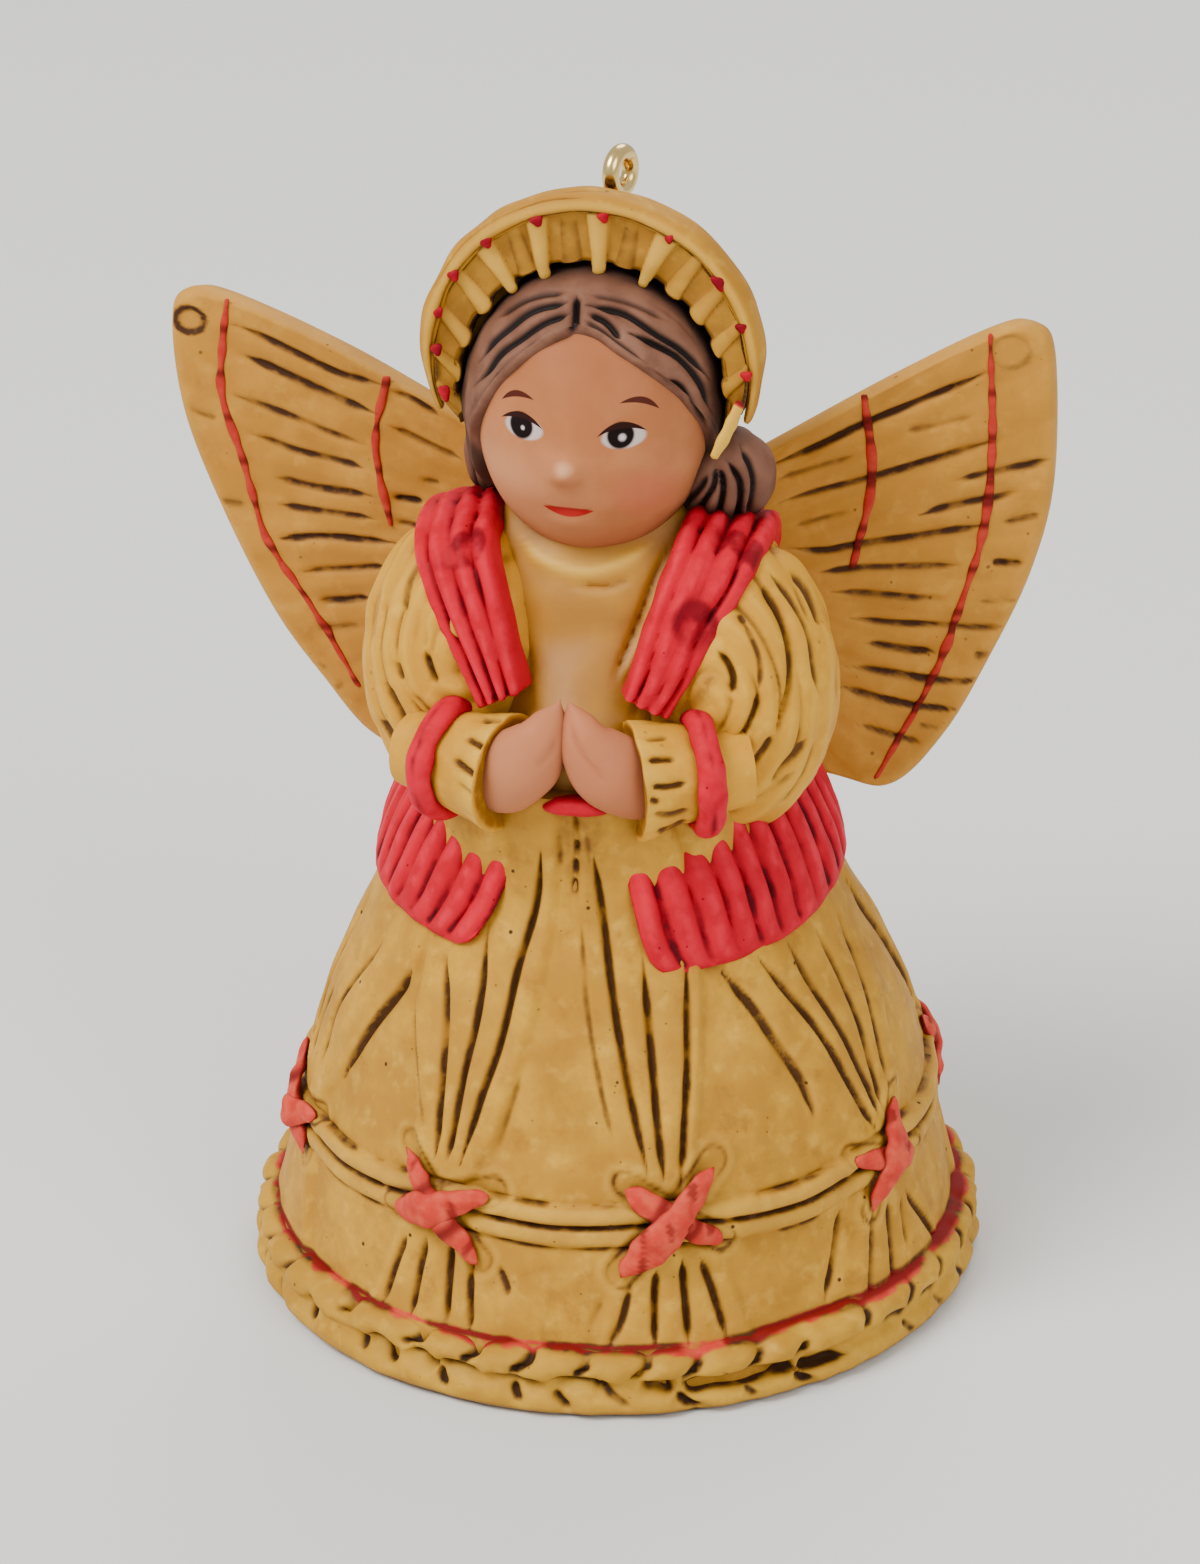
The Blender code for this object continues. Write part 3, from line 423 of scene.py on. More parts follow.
skirt = {
    "profile": ((0.3, 16.9), (1.6, 16.8), (7.6, 15.55), (11.4, 14.8), (14.6, 13.65), (18.2, 11.85),
            (22.5, 9.65),
                (28.5, 7.15)),
    "lean": ((0.0, 0.0), (18.0, 0.0), (22.5, 0.6), (28.5, 3.3)),
    "rows": ((0.0, 0.3), (0.04, 3.0), (0.2, 7.2), (0.42, 10.4), (0.8, 20.0), (1.0, 28.4)),
    "knots": (-158.0, -112.0, -66.5, -21.5, 19.8, 66.0, 112.0, 157.0),
    "beltHeight": 8.75,
    "cordHeight": 0.5,        # half of one cord's height
    "cordProud": (0.5, 0.36),  # upper and lower cord
    "fanProud": 0.3,
    "cutDepth": 0.34,
    "cutWidth": 0.16,
    # front fans: left and right edge as angle and height
    "fanEdges": {
        -66.5: (((-71.5, 10.2), (-77.0, 14.0), (-84.0, 18.0), (-88.0, 21.0)),
                ((-58.0, 10.2), (-52.0, 12.4), (-47.5, 15.2), (-41.5, 18.4), (-38.0, 21.0))),
        -21.5: (((-27.0, 10.2), (-30.0, 13.6), (-35.5, 16.6), (-40.0, 20.0), (-43.0, 23.0)),
                ((-16.5, 10.2), (-12.3, 12.2), (-9.5, 15.0), (-6.5, 19.0), (-4.0, 26.0))),
        19.8: (((13.0, 10.2), (10.2, 12.4), (7.3, 15.2), (4.4, 18.8), (1.0, 26.0)),
               ((24.0, 10.2), (25.5, 13.0), (27.8, 15.6), (31.5, 19.0), (35.0, 23.0))),
        66.0: (((57.5, 10.2), (49.8, 12.1), (49.0, 13.8), (46.2, 15.5), (42.0, 17.7), (36.8, 20.0)),
               ((72.0, 10.2), (76.5, 13.0), (84.0, 16.6), (90.0, 20.0)))},
    "otherEdges": (((-6.0, 10.2), (-9.0, 14.0), (-14.0, 19.5)), ((6.0, 10.2), (9.0, 14.0), (14.0, 19.5))),
    "otherCuts": ((0.9, ((-14.0, 19.5), (-9.0, 14.6), (-5.2, 10.8))),
            (1.0, ((-5.0, 19.5), (-3.2, 14.6), (-1.8, 10.8))),
                  (1.0, ((5.0, 19.5), (3.2, 14.6), (1.7, 10.8))),
                  (0.9, ((14.0, 19.5), (9.0, 14.6), (5.2, 10.8))),
                  (0.9, ((-7.2, 6.9), (-8.6, 5.2), (-10.4, 3.6))),
                  (1.0, ((-2.6, 6.9), (-3.2, 5.2), (-3.9, 3.6))),
                  (1.0, ((1.8, 6.9), (2.2, 5.2), (2.8, 3.6))), (0.9, ((6.0, 6.9), (7.2, 5.2), (8.6, 3.6)))),
    "cuts": [
        (0.8, [(-69.3, 15.1), (-69.8, 13.1), (-67.8, 11.6)]),
        (0.6, [(-55.4, 18.5), (-62.3, 14.8), (-61.1, 11.8)]),
        (0.8, [(-77.0, 19.0), (-74.5, 14.6), (-71.0, 11.0)]),
        (1.2, [(-41.9, 18.2), (-44.5, 16.7), (-48.1, 15.0), (-52.1, 12.2)]),
        (1.0, [(-32.1, 19.5), (-28.3, 17.4), (-25.5, 15.0), (-24.1, 12.7), (-23.4, 11.0)]),
        (1.0, [(-22.1, 21.0), (-20.1, 18.0), (-20.3, 15.3), (-20.7, 12.3), (-21.0, 10.9)]),
        (1.1, [(-9.0, 25.5), (-9.6, 23.0), (-12.2, 20.0), (-13.8, 16.4), (-16.1, 13.7), (-18.2, 10.9)]),
        (0.35, [(-38.6, 17.3), (-33.9, 15.6), (-29.8, 13.8), (-26.1, 11.8)]),
        (0.4, [(-8.4, 15.4), (-10.2, 13.4), (-11.6, 11.8)]),
        (1.1, [(7.5, 25.5), (8.7, 22.8), (10.9, 18.6), (13.4, 14.8), (16.2, 11.1)]),
        (1.0, [(18.3, 20.4), (18.2, 16.8), (18.3, 13.3), (19.0, 10.9)]),
        (1.1, [(28.9, 20.4), (25.3, 15.8), (23.4, 13.2), (21.8, 10.6)]),
        (0.45, [(2.8, 22.5), (4.7, 18.6), (7.7, 15.1), (10.4, 12.4)]),
        (1.0, [(37.4, 19.4), (42.4, 17.6), (46.4, 15.4), (49.2, 13.7), (49.8, 12.1)]),
        (1.1, [(47.1, 19.5), (52.1, 17.7), (55.8, 16.0), (58.7, 13.9), (61.6, 11.6), (63.6, 10.4)]),
        (1.0, [(57.1, 19.7), (59.5, 17.4), (62.3, 14.9), (64.6, 12.2), (65.6, 10.8)]),
        (0.9, [(67.6, 19.7), (69.0, 17.7), (68.4, 15.0), (67.2, 12.3), (67.0, 10.9)]),
        (0.7, [(79.2, 19.4), (77.2, 17.0), (72.9, 14.4), (69.9, 11.4)]),
        (0.8, [(-27.9, 6.9), (-29.9, 5.1), (-31.2, 3.2)]),
        (0.9, [(-23.9, 7.1), (-24.6, 5.2), (-25.2, 3.2)]),
        (1.0, [(-18.9, 7.2), (-18.7, 5.6), (-18.3, 3.2)]),
        (1.0, [(-15.0, 6.9), (-14.6, 5.3), (-13.9, 3.2)]),
        (0.7, [(-10.3, 6.5), (-8.7, 5.8), (-7.9, 5.3)]),
        (0.8, [(12.9, 6.4), (11.4, 4.6), (9.0, 3.2)]),
        (1.1, [(17.0, 6.7), (16.6, 5.3), (16.5, 3.2)]),
        (1.1, [(21.5, 7.0), (21.7, 5.2), (22.0, 3.2)]),
        (1.1, [(24.7, 7.0), (26.5, 5.4), (28.3, 3.2)]),
        (0.35, [(8.0, 5.4), (6.0, 4.0)]),
        (1.0, [(53.4, 7.4), (50.6, 5.6), (47.2, 3.6)]),
        (0.8, [(60.0, 6.6), (58.0, 4.6), (56.0, 2.8)]),
        (0.9, [(65.0, 6.6), (63.6, 4.6), (62.3, 2.8)]),
        (0.6, [(68.6, 6.2), (67.6, 4.0)]),
        (1.0, [(70.4, 6.4), (74.3, 4.6), (78.5, 2.8)]),
        (1.2, [(2.4, 27.4), (2.5, 26.7)]), (1.1, [(2.6, 26.2), (2.3, 25.5)]),
        (1.0, [(2.0, 25.1), (1.6, 24.5)]),
        (0.8, [(1.5, 24.1), (1.2, 23.5)]), (0.35, [(-3.4, 26.6), (-3.0, 24.8)]),
        (0.35, [(6.0, 26.9), (6.3, 24.9)])],
    # crossed stitches: two limbs, each from one tip to the other as (aside, up) and its half width
    "limbs": {
        -66.5: (((-2.1, 2.7), (1.5, -1.8), 0.7), ((-2.1, -0.7), (2.4, 0.7), 0.68)),
        -21.5: (((-2.1, 2.2), (2.3, -2.4), 0.62), ((-2.5, -0.85), (2.6, 1.0), 0.76)),
        19.8: (((-2.0, 1.8), (2.4, -1.2), 0.68), ((2.15, 2.45), (-2.4, -2.4), 0.76)),
        66.0: (((-2.4, 0.6), (2.5, -1.0), 0.66), ((1.5, 2.2), (-1.8, -2.3), 0.7))},
    "otherLimbs": (((-1.9, 2.0), (2.0, -1.9), 0.58), ((2.1, 1.9), (-2.1, -1.8), 0.62)),
    "knotHeight": 9.05,
    "knotProud": 0.6,
}


def nearestKnot(angle):
    # how far each angle is from its nearest knot, in degrees
    gaps = [np.abs((angle - knot + 180) % 360 - 180) for knot in skirt["knots"]]
    return np.min(gaps, axis=0)


def skirtBase(angle, height):
    radius = softTable(skirt["profile"], height)
    turn, lean = np.radians(angle), softTable(skirt["lean"], height)
    return radius * np.sin(turn), -radius * np.cos(turn) - lean, height


def skirtRelief(angle, height):
    radius = softTable(skirt["profile"], height)
    across = radius * pi / 180
    lift = np.zeros(np.shape(angle))
    lines = list(skirt["cuts"])
    for knot in skirt["knots"]:
        edges = skirt["fanEdges"].get(knot)
        if edges:
            left, right = (softTable([(z, a) for a, z in edge], height) for edge in edges)
        else:
            edges = ([(z, a) for a, z in edge] for edge in skirt["otherEdges"])
            left, right = (knot + softTable(edge, height) for edge in edges)
            lines += [(strength, [(knot + a, z) for a, z in line]) for strength, line in skirt["otherCuts"]]
        inside = np.minimum(angle - left, right - angle) * across
        upper = ease(-0.35, 0.3, inside) * ease(9.0, 10.4, height)
        spread = 8.5 + (7.2 - height) * 1.1
        below = (spread - np.abs((angle - knot + 180) % 360 - 180)) * across
        lower = ease(-0.35, 0.3, below) * ease(8.0, 7.2, height)
        lift = np.maximum(lift, np.maximum(upper, lower * 0.8) * skirt["fanProud"])
    cut = carvedLines(angle, height, lines, skirt["cutWidth"], across)
    shoulder = carvedLines(angle, height, [line for line in lines if line[0] > 0.5], 0.5, across)
    x, y, z = skirtBase(angle, height)
    uneven = wobble(x, y, z, 3.1, 4)
    gap = nearestKnot(angle)
    middle = skirt["beltHeight"] + 0.12 * wobble(x, y, 0 * z, 9.0, 7) + 0.1 * np.cos(np.radians(gap * 8))
    high, low = skirt["cordProud"]
    half = skirt["cordHeight"]
    upperCord = dome((height - middle - half) / (half * 1.02)) * high
    lowerCord = dome((height - middle + half) / (half * 1.02)) * low
    cords = np.maximum(upperCord, lowerCord)
    onBelt = ease(2.1 * half + 0.15, 2.1 * half - 0.1, np.abs(height - middle))
    relief = lift * (1 - onBelt) + cords
    seamWash = dip(height - middle, 0.13) * 1.15 * ease(-0.9, 0.1, wobble(x, y, z, 5.0, 21) + 0.6)
    edgeWash = dip(height - middle - 2.05 * half, 0.12) * 0.8 * ease(-0.5, 0.5, wobble(x, y, z, 2.6, 9))
    edgeWash += dip(height - middle + 2.05 * half, 0.12) * 0.75 * ease(-0.5, 0.5, wobble(x, y, z, 2.9, 12))
    pale = cords * 0.9
    lip = np.zeros(np.shape(angle))
    shadow = np.zeros(np.shape(angle))
    for knot in skirt["knots"]:
        aside = ((angle - knot + 180) % 360 - 180) * across
        up = height - skirt["knotHeight"]
        for start, end, width in skirt["limbs"].get(knot, skirt["otherLimbs"]):
            distance = segmentDistance(aside, up, start, end)
            lip = np.maximum(lip, dip(distance - width - 0.2, 0.17))
            shadow = np.maximum(shadow, dip(distance - width + 0.12, 0.12) * 0.5)
    cut = cut * (1 - 0.9 * onBelt)
    relief += 0.07 * lip - skirt["cutDepth"] * cut - 0.14 * shoulder + 0.05 * uneven
    relief -= 0.14 * (seamWash + edgeWash)
    broken = 0.85 + 0.4 * wobble(x, y, z, 1.9, 31)
    washAndShade = np.maximum(cut * broken * 1.15, seamWash + edgeWash)
    washAndShade = np.maximum(washAndShade * (1 - 0.8 * lip), shadow * broken)
    # the upper middle of the front, under the hands, darker as painted shade; the flat panels between the fans are
    # darker too
    stainAndShade = dip(x - 0.9 * dip(z - 27, 6), 1.3) * ease(22.5, 26.5, height) * ease(0, -1, y) * 0.6
    paint, core = redLine(angle, height, x, y, 1)
    panel = ease(0.3, 0.0, lift) * (0.55 + 0.45 * wobble(x, y, z, 4.2, 33))
    return relief, {"washAndShade": np.maximum(washAndShade, core), "stainAndShade": stainAndShade + 0.32 * panel,
                    "pale": np.maximum(pale, lip * 0.35) + 0.2 * shoulder, "paint": paint}


def skirtAngle(across):
    # more columns at the front, where the carving is finest
    turn = across - 0.5
    return 360 * turn - 22 * np.sin(2 * pi * turn)


def makeSkirt():
    def shape(across, along):
        return skirtBase(skirtAngle(across), np.interp(along, *zip(*skirt["rows"])))

    def relief(across, along, place):
        return skirtRelief(skirtAngle(across), np.interp(along, *zip(*skirt["rows"])))

    finishPiece(carve("skirt", 640, 124, shape, relief), skirtStraw)


def makeKnots():
    # each limb is a rounded stitch laid on the skirt, and the second crosses over the first
    number = 0
    for knot in skirt["knots"]:
        number += 1
        limbs = []
        for order, (start, end, width) in enumerate(skirt["limbs"].get(knot, skirt["otherLimbs"])):
            run = np.subtract(end, start)
            length = np.hypot(*run)
            along, aside = run / length, np.array((-run[1], run[0])) / length

            def shape(across, share, start=start, length=length, along=along, aside=aside, width=width,
                    order=order):
                reach = length * share
                uneven = 1 + 0.14 * np.sin(7 * share + knot + 2 * order)
                thick = (1 - np.abs(2 * share - 1) ** 3.2) ** 0.8 * uneven
                turn = 2 * pi * across
                flatX = start[0] + along[0] * reach + aside[0] * width * thick * np.cos(turn)
                flatZ = start[1] + along[1] * reach + aside[1] * width * thick * np.cos(turn)
                height = skirt["knotHeight"] + flatZ
                radius = softTable(skirt["profile"], height)
                arch = 0.3 + 0.45 * dip(share - 0.5, 0.28) + order * 0.22 * dip(share - 0.5, 0.25)
                radius = radius + arch + skirt["knotProud"] * 0.62 * thick * np.sin(turn)
                angle = np.radians(knot) + flatX / softTable(skirt["profile"], height)
                return radius * np.sin(angle), -radius * np.cos(angle), height

            def relief(across, share, place):
                x, y, z = place[..., 0], place[..., 1], place[..., 2]
                # the lower limb darker where the upper one crosses it, and both darker away from their crests:
                # painted shade
                crease = dip(np.abs(share - 0.5) - 0.17, 0.06) * (0.7 if order == 0 else 0.25)
                edge = ease(0.25, 0.9, -np.sin(2 * pi * across) + 0.9) * 0.35
                blot = ease(0.35, 0.9, wobble(x, y, z, 1.2, 51 + order)) * 0.55
                height = 0.09 * wobble(x, y, z, 1.1, 5 + order) - 0.06 * crease
                return height, {"washAndShade": np.maximum(np.maximum(crease, edge), blot), "paint": 1.0}

            limbs.append(carve("limb", 24, 30, shape, relief))
        finishPiece(joined(f"stitch_knot_{number}", limbs), skirtStraw)


# Foot and hem braid

hem = {
    "radius": 17.75,
    "section": ((0.0, 0.5, 0.0), (0.07, 0.2, 0.18), (0.26, 0.0, 0.78), (0.5, 0.1, 1.5), (0.74, 0.02, 2.25),
                (0.9, 0.4, 2.85), (1.0, 1.35, 3.25)),
    "middle": 1.72,           # height of the seam between the two rows of strands
    "pitch": 9.3,             # degrees from one strand to the next, where they are not set out below
    "cutWidth": 0.19,
    "cutDepth": 0.36,
    "plump": 0.5,
    # seam and strand edges at the front, as angle and height
    "cuts": [
        (1.0, [(12.5, 1.97), (14.1, 2.45), (15.7, 2.98)]), (1.0, [(20.6, 1.77), (22.0, 2.3), (23.3, 2.89)]),
        (1.0, [(30.8, 1.84), (32.2, 2.3), (33.3, 2.83)]), (1.1, [(39.2, 1.93), (40.9, 2.56)]),
        (0.8, [(52.1, 2.1), (53.4, 2.9)]), (0.9, [(14.4, 1.6), (16.6, 1.61), (18.8, 1.38)]),
        (1.3, [(20.4, 1.6), (22.0, 1.37), (25.2, 1.44), (30.2, 1.37), (33.7, 1.51), (37.2, 1.44),
               (38.7, 1.3)]),
        (1.2, [(38.9, 1.33), (42.8, 1.25), (47.4, 1.2)]), (1.1, [(19.4, 1.24), (21.3, 0.61), (22.9, 0.31)]),
        (0.5, [(30.2, 1.03), (31.6, 0.59)]), (0.9, [(38.3, 1.11), (41.3, 0.42)]),
        (0.5, [(7.8, 1.76), (9.6, 1.31), (12.4, 0.73)]), (1.0, [(-46.1, 2.19), (-45.1, 1.06)]),
        (1.1, [(-38.6, 2.5), (-36.2, 2.95)]), (1.1, [(-24.9, 2.4), (-22.8, 2.75), (-21.0, 3.0)]),
        (1.1, [(-14.1, 2.3), (-12.9, 2.65), (-11.6, 3.0)]), (1.1, [(-6.2, 2.15), (-4.4, 2.6), (-2.6, 3.05)]),
        (1.1, [(3.9, 2.3), (5.9, 2.85)]), (0.6, [(-32.7, 1.84), (-32.4, 1.2)]),
        (1.4, [(-31.4, 2.02), (-28.7, 1.98), (-27.1, 1.6), (-26.5, 1.09)]),
        (1.4, [(-23.0, 2.03), (-20.7, 2.02), (-18.5, 1.54)]),
        (1.3, [(-17.7, 1.89), (-15.5, 1.98), (-13.4, 1.97), (-11.0, 1.8)]),
        (1.2, [(0.2, 1.91), (3.7, 2.02), (6.6, 1.9), (8.5, 1.62)]),
        (0.35, [(-10.7, 1.85), (-5.9, 1.84), (-0.8, 1.6)]),
        (0.9, [(-17.9, 1.47), (-16.7, 0.9)]), (0.8, [(-5.6, 1.45), (-4.5, 0.8)]),
        (0.9, [(0.8, 1.31), (3.0, 0.6)])],
    "front": (-48.0, 56.0),
    # the red line painted along the crease over the braid, as angle and height
    "red": ((-180.0, 3.15), (-50.0, 3.2), (-35.0, 3.2), (-22.0, 3.25), (-10.0, 3.2), (8.0, 3.2),
            (24.0, 3.12), (31.5, 3.1),
            (40.0, 3.25), (52.0, 3.15), (70.0, 3.1), (180.0, 3.15)),
}


def braidCuts():
    cuts = list(hem["cuts"])
    low, high = hem["front"]
    angle = high + hem["pitch"] * 0.6
    turn = 0
    while angle < low + 360 - hem["pitch"] * 0.5:
        a = angle if angle < 180 else angle - 360
        slip = 0.9 * sin(turn * 2.4)
        turn += 1
        cuts += [(0.7, [(a, 1.95 + 0.1 * slip), (a + 1.6, 2.4), (a + 3.0, 2.9)]),
                 (0.55, [(a - 1.2, 1.35), (a + 0.4, 0.8), (a + 2.0, 0.35)])]
        if turn % 3:
            cuts.append((0.8, [(a - 5.6, 1.9), (a - 3.0, 1.95), (a - 0.2, 1.7 - 0.08 * slip)]))
        angle += hem["pitch"]
    return cuts


def redLine(angle, height, x, y, side):
    # the painted line's dark core and its lighter smear; side is 1 for the skirt above and -1 for the braid
    line = softTable(hem["red"], angle)
    blot = wobble(x, y, 0, 3.3, 70) + 0.6 * wobble(x, y, 0, 1.1, 71)
    spread = 0.1 + 0.07 * blot if side > 0 else 0.14 + 0.1 * blot
    paint = ease(spread + 0.16, spread - 0.12, np.abs(height - line))
    core = dip(height - line, 0.16) * ease(-0.6, 0.2, wobble(x, y, 0, 4.4, 72) + 0.3)
    return paint, core


def makeBraid():
    inset = [(share, depth) for share, depth, height in hem["section"]]
    level = [(share, height) for share, depth, height in hem["section"]]

    def around(across):
        turn = across - 0.5
        return 360 * turn - 16 * np.sin(2 * pi * turn)

    def shape(across, along):
        # up the outside, over the top, and back down inside to the flat foot
        outside = np.clip(along / 0.82, 0, 1)
        radius = hem["radius"] - softTable(inset, outside)
        height = softTable(level, outside)
        back = np.clip((along - 0.82) / 0.18, 0, 1)
        radius = radius - 3.2 * back
        height = height * (1 - back)
        angle = np.radians(around(across))
        return radius * np.sin(angle), -radius * np.cos(angle), height

    def relief(across, along, place):
        x, y, z = place[..., 0], place[..., 1], place[..., 2]
        angle = around(across)
        outside = ease(0.84, 0.78, along) * ease(0.02, 0.16, along)
        across_ = hem["radius"] * pi / 180
        cuts = braidCuts()
        cut = carvedLines(angle, z, cuts, hem["cutWidth"], across_)
        soft = carvedLines(angle, z, cuts, 0.5, across_)
        seam = dip(z - hem["middle"] - 0.1 * np.sin(angle * 0.67) - 0.06 * wobble(x, y, 0, 5.0, 8), 0.34)
        lower = dip(z - 0.85, 0.75) + dip(z - 2.4, 0.7)
        height = hem["plump"] * (0.5 * lower - 0.75 * soft - 0.4 * seam) - hem["cutDepth"] * cut
        height += 0.06 * wobble(x, y, z, 1.9, 6)
        smooth = ease(50, 60, angle) * ease(100, 84, angle)
        height *= 1 - 0.5 * smooth
        broken = 0.85 + 0.4 * wobble(x, y, z, 2.4, 13)
        paint, core = redLine(angle, z, x, y, -1)
        over = ease(0.86, 0.8, along)
        # darker along the floor: painted contact shadow, with the brown wash
        foot = ease(0.2, 0.02, z + 0.06 * wobble(x, y, 0, 1.8, 14)) * 0.75
        marks = {"washAndShade": np.maximum(np.maximum(cut * broken * 1.3, foot) * outside + foot, core * over),
                 "pale": 0.3 * soft * (1 - cut), "paint": paint * over * ease(2.4, 2.8, z)}
        return height * outside, marks

    finishPiece(carve("hem_braid", 1040, 40, shape, relief, (True, True)), braidStraw)
    bpy.ops.object.select_all(action="DESELECT")
    bpy.ops.mesh.primitive_cylinder_add(vertices=180, radius=(hem["radius"] - 1.6) * millimetre,
                                        depth=1.4 * millimetre, location=(0, 0, 0.7 * millimetre))
    foot = bpy.context.active_object
    foot.name = foot.data.name = "foot"
    bpy.ops.object.transform_apply(location=True, rotation=True, scale=True)
    bpy.ops.object.mode_set(mode="EDIT")
    bpy.ops.mesh.select_all(action="SELECT")
    bpy.ops.mesh.bevel(offset=0.12 * millimetre, segments=2)
    bpy.ops.object.mode_set(mode="OBJECT")
    bpy.ops.object.shade_smooth_by_angle(angle=radians(40))
    finishPiece(foot, braidStraw)


# Jacket skirt

peplum = {
    "flutes": 44, "depth": 0.6, "topLift": 0.75,
    # height and angle of the two front edges, which lean toward the middle as they rise
    "start": ((19.7, 21.6), (21.0, 18.4), (23.0, 15.9), (25.5, 13.5), (30.0, 9.0)),
    "end": ((20.3, 333.4), (22.0, 339.6), (24.2, 343.4), (26.0, 345.8), (30.0, 351.0)),
    "edge": ((20.0, 19.7), (42.0, 19.9), (67.0, 20.5), (81.0, 21.0), (180.0, 22.0), (295.0, 20.9),
            (334.0, 20.3)),
    "radius": ((19.5, 11.45), (21.0, 11.35), (22.0, 11.15), (24.0, 10.45), (25.4, 9.8), (26.6, 9.05),
            (28.3, 7.8), (30.0, 5.8)),
    "thickness": 0.75,
    "corner": 0.8,            # radius of the two lower corners
}


def makePeplum():
    def plan(across, along):
        # down the outside to 0.7, round the edge, and up inside
        rough = 20.0 + 314.0 * across
        edge = softTable(peplum["edge"], rough)
        arc = np.minimum(across, 1 - across) * 314 * pi / 180 * 11.4
        edge = edge + peplum["corner"] * (1 - dome(1 - np.clip(arc / peplum["corner"], 0, 1)))
        share = np.clip(along / 0.7, 0, 1)
        height = 30.0 + (edge - 30.0) * share
        under = np.clip((along - 0.7) / 0.06, 0, 1)
        inside = np.clip((along - 0.76) / 0.24, 0, 1)
        start, end = softTable(peplum["start"], height), softTable(peplum["end"], height)
        angle = start + (end - start) * across
        radius = softTable(peplum["radius"], height)
        inward = (radius - peplum["thickness"] - 5.4) * ease(0, 0.8, inside)
        radius = radius - peplum["thickness"] * under - inward
        height = height - 0.12 * np.sin(pi * under) + (30.0 - height) * inside ** 1.5
        return angle, radius, height

    def shape(across, along):
        angle, radius, height = plan(across, along)
        turn = np.radians(angle)
        return radius * np.sin(turn), -radius * np.cos(turn), height

    def relief(across, along, place):
        x, y, z = place[..., 0], place[..., 1], place[..., 2]
        flute = across * peplum["flutes"] + 0.14 * wobble(x, y, z, 6.0, 2)
        gap = np.abs((flute + 0.5) % 1 - 0.5)
        count = np.round(flute)
        deep = 0.62 + 0.38 * np.sin(count * 2.4) * np.sin(count * 0.9 + 1)
        groove = dip(gap, 0.15) * deep
        outside = ease(0.04, 0.2, along) * ease(0.7, 0.66, along)
        round_ = dome(1 - 2 * gap) ** 0.8
        low = 1 - 0.5 * ease(0.52, 0.69, along)
        height = (peplum["depth"] * (round_ * 0.5 - 0.3) - 0.2 * groove) * outside * low + 0.04 * wobble(x,
                y, z, 1.9, 3)
        height += peplum["topLift"] * ease(25.2, 27.2, z) * ease(0.7, 0.66, along)
        broken = 0.7 + 0.45 * wobble(x, y, z, 3.2, 14)
        bare = ease(0.715, 0.74, along) * ease(0.96, 0.9, along)
        return height, {"washAndShade": groove * outside * broken * 1.5,
                "pale": outside * ease(0.22, 0.45, gap) * (0.6 + 0.4 * wobble(x, y, z, 2.1, 15)),
                        "bare": bare}

    piece = carve("jacket_skirt", 490, 60, shape, relief, (False, True))
    finishPiece(piece, jacketRed)


# Bodice, jacket bands, sleeves and cuffs

bodice = {
    "sections": ((23.0, 7.8, 7.6, 0.0), (27.0, 7.5, 6.9, 0.1), (31.0, 7.3, 6.4, 0.3), (34.5, 7.7, 6.1, 0.3),
                 (36.5, 7.8, 5.8, 0.1), (38.0, 6.6, 5.2, -0.1), (39.6, 4.9, 4.0, -0.3),
                 (41.2, 2.9, 2.7, -0.5)),
    "chest": ((25.2, 2.4), (27.5, 3.0), (29.6, 3.4), (31.5, 3.0), (33.0, 1.9), (34.5, 0.9), (36.5, 0.35),
            (38.0, 0.0)),
    "chestWidth": 4.6,
    # yoke edges and the neck's crease, drawn as seen from the front
    "plane": -7.0,
    "cuts": [(1.2, [(-3.5, 39.3), (-3.27, 38.5), (-3.17, 37.4), (-3.03, 35.9), (-2.62, 34.3), (-2.2, 33.1)]),
             (1.2, [(4.24, 39.56), (3.49, 37.87), (2.82, 35.88), (2.16, 34.27), (1.6, 32.9)]),
             (0.9, [(-0.2, 37.4), (1.01, 37.4), (1.56, 37.5), (2.57, 37.96)]),
             (0.7, [(2.73, 31.93), (2.58, 31.12)]), (0.7, [(3.05, 31.85), (3.09, 31.26)]),
             (0.6, [(3.51, 31.58), (3.41, 31.08)])],
    "pale": [(1.0, [(-3.9, 39.2), (-3.62, 37.4), (-3.4, 35.8), (-2.9, 34.2), (-2.5, 33.1)]),
             (1.0, [(4.7, 39.4), (3.95, 37.8), (3.2, 35.9), (2.5, 34.2), (1.9, 32.9)]),
             (0.9, [(-2.6, 39.6), (-1.6, 38.6), (0.2, 38.1), (2.0, 38.6), (3.4, 39.6)])],
    "band": ((5.5, 5.6, 35.0, 1.9, (0.1, 1.0, 0.25)), (6.1, 2.0, 38.0, 2.0, (0.2, 0.45, 1.0)),
             (6.4, -2.2, 39.4, 2.05, (0.25, -0.3, 1.0)), (6.1, -5.9, 38.7, 1.95, (0.25, -0.9, 0.7)),
             (5.2, -7.5, 36.4, 1.75, (0.2, -1.0, 0.15)), (3.4, -8.95, 32.4, 1.2, (0.2, -1.0, 0.1))),
    "bandRibs": 3.6,
    "bandThickness": 2.4, "bandLift": 0.35,
}


